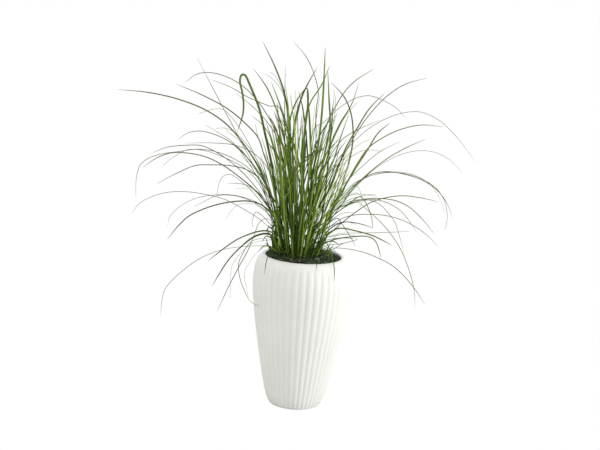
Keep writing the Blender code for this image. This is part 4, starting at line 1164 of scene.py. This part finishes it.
def make_fine_blades(name, rows, half_widths, template, material):
    """Blades that are each drawn up out of the clump and then along the route that they take in the photo."""
    rng = np.random.default_rng(FINE_SEED)
    blades = []
    for tip_depth, seen in rows:
        seen, tip_depth = np.array(seen) / CM, tip_depth / CM
        out = float(np.clip(FOOT_SPREAD * seen[0][0], -MOST_FOOT_SPREAD, MOST_FOOT_SPREAD))
        foot_depth = CLUMP_CENTRE.y + FOOT_DEPTH_SHARE * tip_depth
        foot = np.array((CLUMP_CENTRE.x + out, foot_depth, SOIL_TOP - FOOT_DEPTH))
        depths = foot_depth + (tip_depth - foot_depth) * np.linspace(CLEAR_DEPTH_SHARE, 1.0, len(seen))
        clear = [at_depth(x, z, depth) for (x, z), depth in zip(seen, depths)]
        middle = (foot + clear[0]) / 2 + (HIDDEN_BOW * (foot[0] - clear[0][0]), 0.0, 0.0)
        line = np.vstack((foot, middle, clear))
        half = np.interp(knot_shares(line), ROUTE_SHARES, half_widths)
        blades.append(lay_fine_leaf(rng, template, line, half, FINE_FOLD))
    finish_piece(joined_copies(name, blades, material), "leaf")


def make_stubble(template, material):
    """Short old stems that stand by themselves in the compost, most of them at the clump's left."""
    rng = np.random.default_rng(STUBBLE_SEED)
    stems = []
    for foot_across, depth, tip_across, tip_height in STUBBLE:
        foot = np.array((foot_across / CM, depth / CM, SOIL_TOP - FOOT_DEPTH))
        tip = at_depth(tip_across / CM, tip_height / CM, depth / CM)
        bend = np.array((rng.normal(0.0, STUBBLE_BEND), rng.normal(0.0, STUBBLE_BEND), STUBBLE_BOW))
        line = np.vstack((foot, (foot + tip) / 2 + bend, tip))
        stems.append(lay_fine_leaf(rng, template, line, STUBBLE_HALF_WIDTHS, FINE_FOLD))
    finish_piece(joined_copies("stubble", stems, material), "leaf")


def make_crossing_stems(template, material, routes):
    """Thin stems that lean across the clump: each starts along one tall leaf and ends beside another."""
    rng = np.random.default_rng(CROSSING_SEED)
    tall = []
    for route in routes:
        if route[-1][2] > CROSSING_TIP_HEIGHT and level_distance(route[-1], route[0]) < CROSSING_TIP_REACH:
            tall.append(route)
    stems = []
    while len(stems) < CROSSING_STEMS:
        first, second = (tall[k] for k in rng.choice(len(tall), 2, replace=False))
        if level_distance(first[0], second[0]) > CROSSING_GAP:
            continue
        part = rng.uniform(*CROSSING_LENGTHS)
        shares = np.linspace(0.0, part, CROSSING_KNOTS)
        swap = (shares / part)[:, None] ** CROSSING_EASE
        line = along_route(first, first, shares) * (1.0 - swap) + along_route(second, second, shares) * swap
        line[:, 2] = np.maximum(line[:, 2], STRAW_LEVEL)
        half = np.interp(shares / part, CROSSING_STATIONS, CROSSING_HALF_WIDTHS)
        stems.append(lay_fine_leaf(rng, template, line, half, CROSSING_FOLD))
    finish_piece(joined_copies("crossing_stems", stems, material), "leaf")


def thatch_strand(rng, angle, start):
    """The line of one strand from its start on the soil: a hump that curls at random."""
    heading = angle + rng.normal(0.0, THATCH_STRAY)
    length = rng.uniform(*THATCH_LENGTHS)
    rise = rng.uniform(*THATCH_RISES)
    reach = length * (1.0 - THATCH_DRAW_IN * rise)
    line = []
    for share in np.linspace(0.0, 1.0, len(THATCH_HALF_WIDTHS)):
        x, y = start[0] + reach * share * math.cos(heading), start[1] + reach * share * math.sin(heading)
        hump = rise * length * math.sin(THATCH_HUMP * share)
        line.append((x, y, max(soil_height(x, y), STRAW_LEVEL) + hump))
        heading += rng.normal(0.0, THATCH_CURL)
    return np.array(line)


def make_thatch(template, material):
    """Short, dead strands, dark in their own tone and in full painted shade, that lie tangled on the soil
    round the foot of the clump.
    """
    rng = np.random.default_rng(THATCH_SEED)
    strands = []
    for _ in range(THATCH_STRANDS):
        angle = rng.uniform(0.0, math.tau)
        away = rng.uniform(*THATCH_RING)
        start = (CLUMP_CENTRE.x + away * math.cos(angle), CLUMP_CENTRE.y + away * math.sin(angle))
        if math.hypot(*start) > THATCH_START_REACH:
            continue
        line = thatch_strand(rng, angle, start)
        if np.hypot(line[:, 0], line[:, 1]).max() > THATCH_REACH:
            continue
        sides = np.tile(unit(rng.normal(0.0, 1.0, 3)), (len(line), 1))
        # full painted shade, fading along each strand from its start
        life = (rng.uniform(*THATCH_TONES), rng.uniform(*THATCH_DRYNESS), 1.0)
        strands.append(lay_leaf(template, line, THATCH_HALF_WIDTHS, sides, life, THATCH_FOLD))
    finish_piece(joined_copies("thatch", strands, material), "leaf")


# ---------------------------------------------------------------- soil
def soil_height(x, y):
    """The compost's surface: near the lip at the wall and heaped round the clump, with lumps."""
    away = level_distance((x, y), CLUMP_CENTRE)
    heap = 1.0 - min(1.0, max(0.0, (away - HEAP_FLAT) / HEAP_SLOPE))
    spot = Vector((x, y, 0.0))
    lumps = sum(height * noise.noise(spot * closeness) for height, closeness in SOIL_LUMPS)
    return SOIL_EDGE + HEAP_RISE * heap * heap * (3 - 2 * heap) + lumps


def make_soil():
    """A disc cut into rings, heaped in the middle and drawn down along the inside of the pot."""
    deselect()
    bpy.ops.mesh.primitive_circle_add(
        vertices=SOIL_SIDES, radius=SOIL_RADIUS, fill_type="TRIFAN", location=(0.0, 0.0, SOIL_DISC)
    )
    soil = bpy.context.object
    soil.name = "compost"
    settle(soil)
    edit(soil, "FACE")
    bpy.ops.mesh.select_all(action="SELECT")
    bpy.ops.mesh.subdivide(number_cuts=SOIL_CUTS)
    bpy.ops.mesh.select_all(action="DESELECT")
    bpy.ops.mesh.select_mode(type="EDGE")
    bpy.ops.mesh.select_non_manifold()
    for drop, growth in SOIL_DRAWS:
        draw_on(drop, growth)
    bpy.ops.mesh.edge_face_add()
    bpy.ops.mesh.select_all(action="SELECT")
    bpy.ops.mesh.normals_make_consistent(inside=False)
    leave_edit()
    for vertex in soil.data.vertices:
        if vertex.co.z > SOIL_SURFACE:
            vertex.co.z = soil_height(vertex.co.x, vertex.co.y)
    pick(soil)
    bpy.ops.object.shade_smooth()
    soil.data.materials.append(compost_material())
    finish_piece(soil, "potting_soil", "soil")


def lump_template(subdivisions, roughness, place):
    """A pebble-like lump of radius 1."""
    deselect()
    bpy.ops.mesh.primitive_ico_sphere_add(subdivisions=subdivisions, radius=1.0)
    lump = bpy.context.object
    for vertex in lump.data.vertices:
        vertex.co *= 1.0 + roughness * noise.noise(vertex.co * LUMP_KNOBS + Vector((place, 0.0, 0.0)))
    shape = shape_of(lump)
    bpy.data.objects.remove(lump, do_unlink=True)
    return shape


def spots_on_soil(rng, count, reach):
    """Random spots on the compost, evenly spread but for its very middle."""
    for _ in range(count):
        angle = rng.uniform(0.0, math.tau)
        away = reach * math.sqrt(rng.uniform(LITTER_FREE, 1.0))
        x, y = away * math.cos(angle), away * math.sin(angle)
        yield x, y, soil_height(x, y)


def strew(kind):
    """One piece from all the bits of one kind of litter, each of its own size, turn and tone."""
    rng = np.random.default_rng(kind["seed"])
    points, faces = lump_template(*kind["lump"])
    bits = []
    for x, y, z in spots_on_soil(rng, kind["count"], kind["reach"]):
        size = rng.uniform(*kind["sizes"]) * np.array(kind["flattening"]) * rng.uniform(*LITTER_STRETCH, 3)
        turn = Matrix.Rotation(rng.uniform(0.0, math.tau), 3, "Z")
        turn = turn @ Matrix.Rotation(rng.normal(0.0, LITTER_TILT), 3, "X")
        placed = (points * size) @ np.array(turn).T + (x, y, z + LITTER_LIFT * size[2])
        bits.append((placed, faces, {"tone": np.full((len(points), 1), rng.uniform(0.0, 1.0))}))
    material = litter_material(kind["paint"], kind["colours"], kind["roughness"], kind["grain"])
    finish_piece(joined_copies(kind["piece"], bits, material), "potting_soil")


# ---------------------------------------------------------------- making
def main():
    add_camera()
    add_room()
    add_floor()
    add_lights()
    make_pot()
    make_soil()
    for kind in LITTER:
        strew(kind)
    leaf = leaf_material()
    template = leaf_template()
    routes = make_shoots(template, leaf)
    make_fine_blades("fine_blades", FINE_BLADES, FINE_HALF_WIDTHS, template, leaf)
    make_fine_blades("base_leaves", BASE_LEAVES, BASE_HALF_WIDTHS, template, leaf)
    make_stubble(template, leaf)
    make_fine_blades("leaning_stems", LEANING_STEMS, LEANING_HALF_WIDTHS, template, leaf)
    make_fine_blades("folded_stem", FOLDED_STEM, FOLDED_HALF_WIDTHS, template, leaf)
    make_crossing_stems(template, leaf, routes)
    make_thatch(template, leaf)


main()
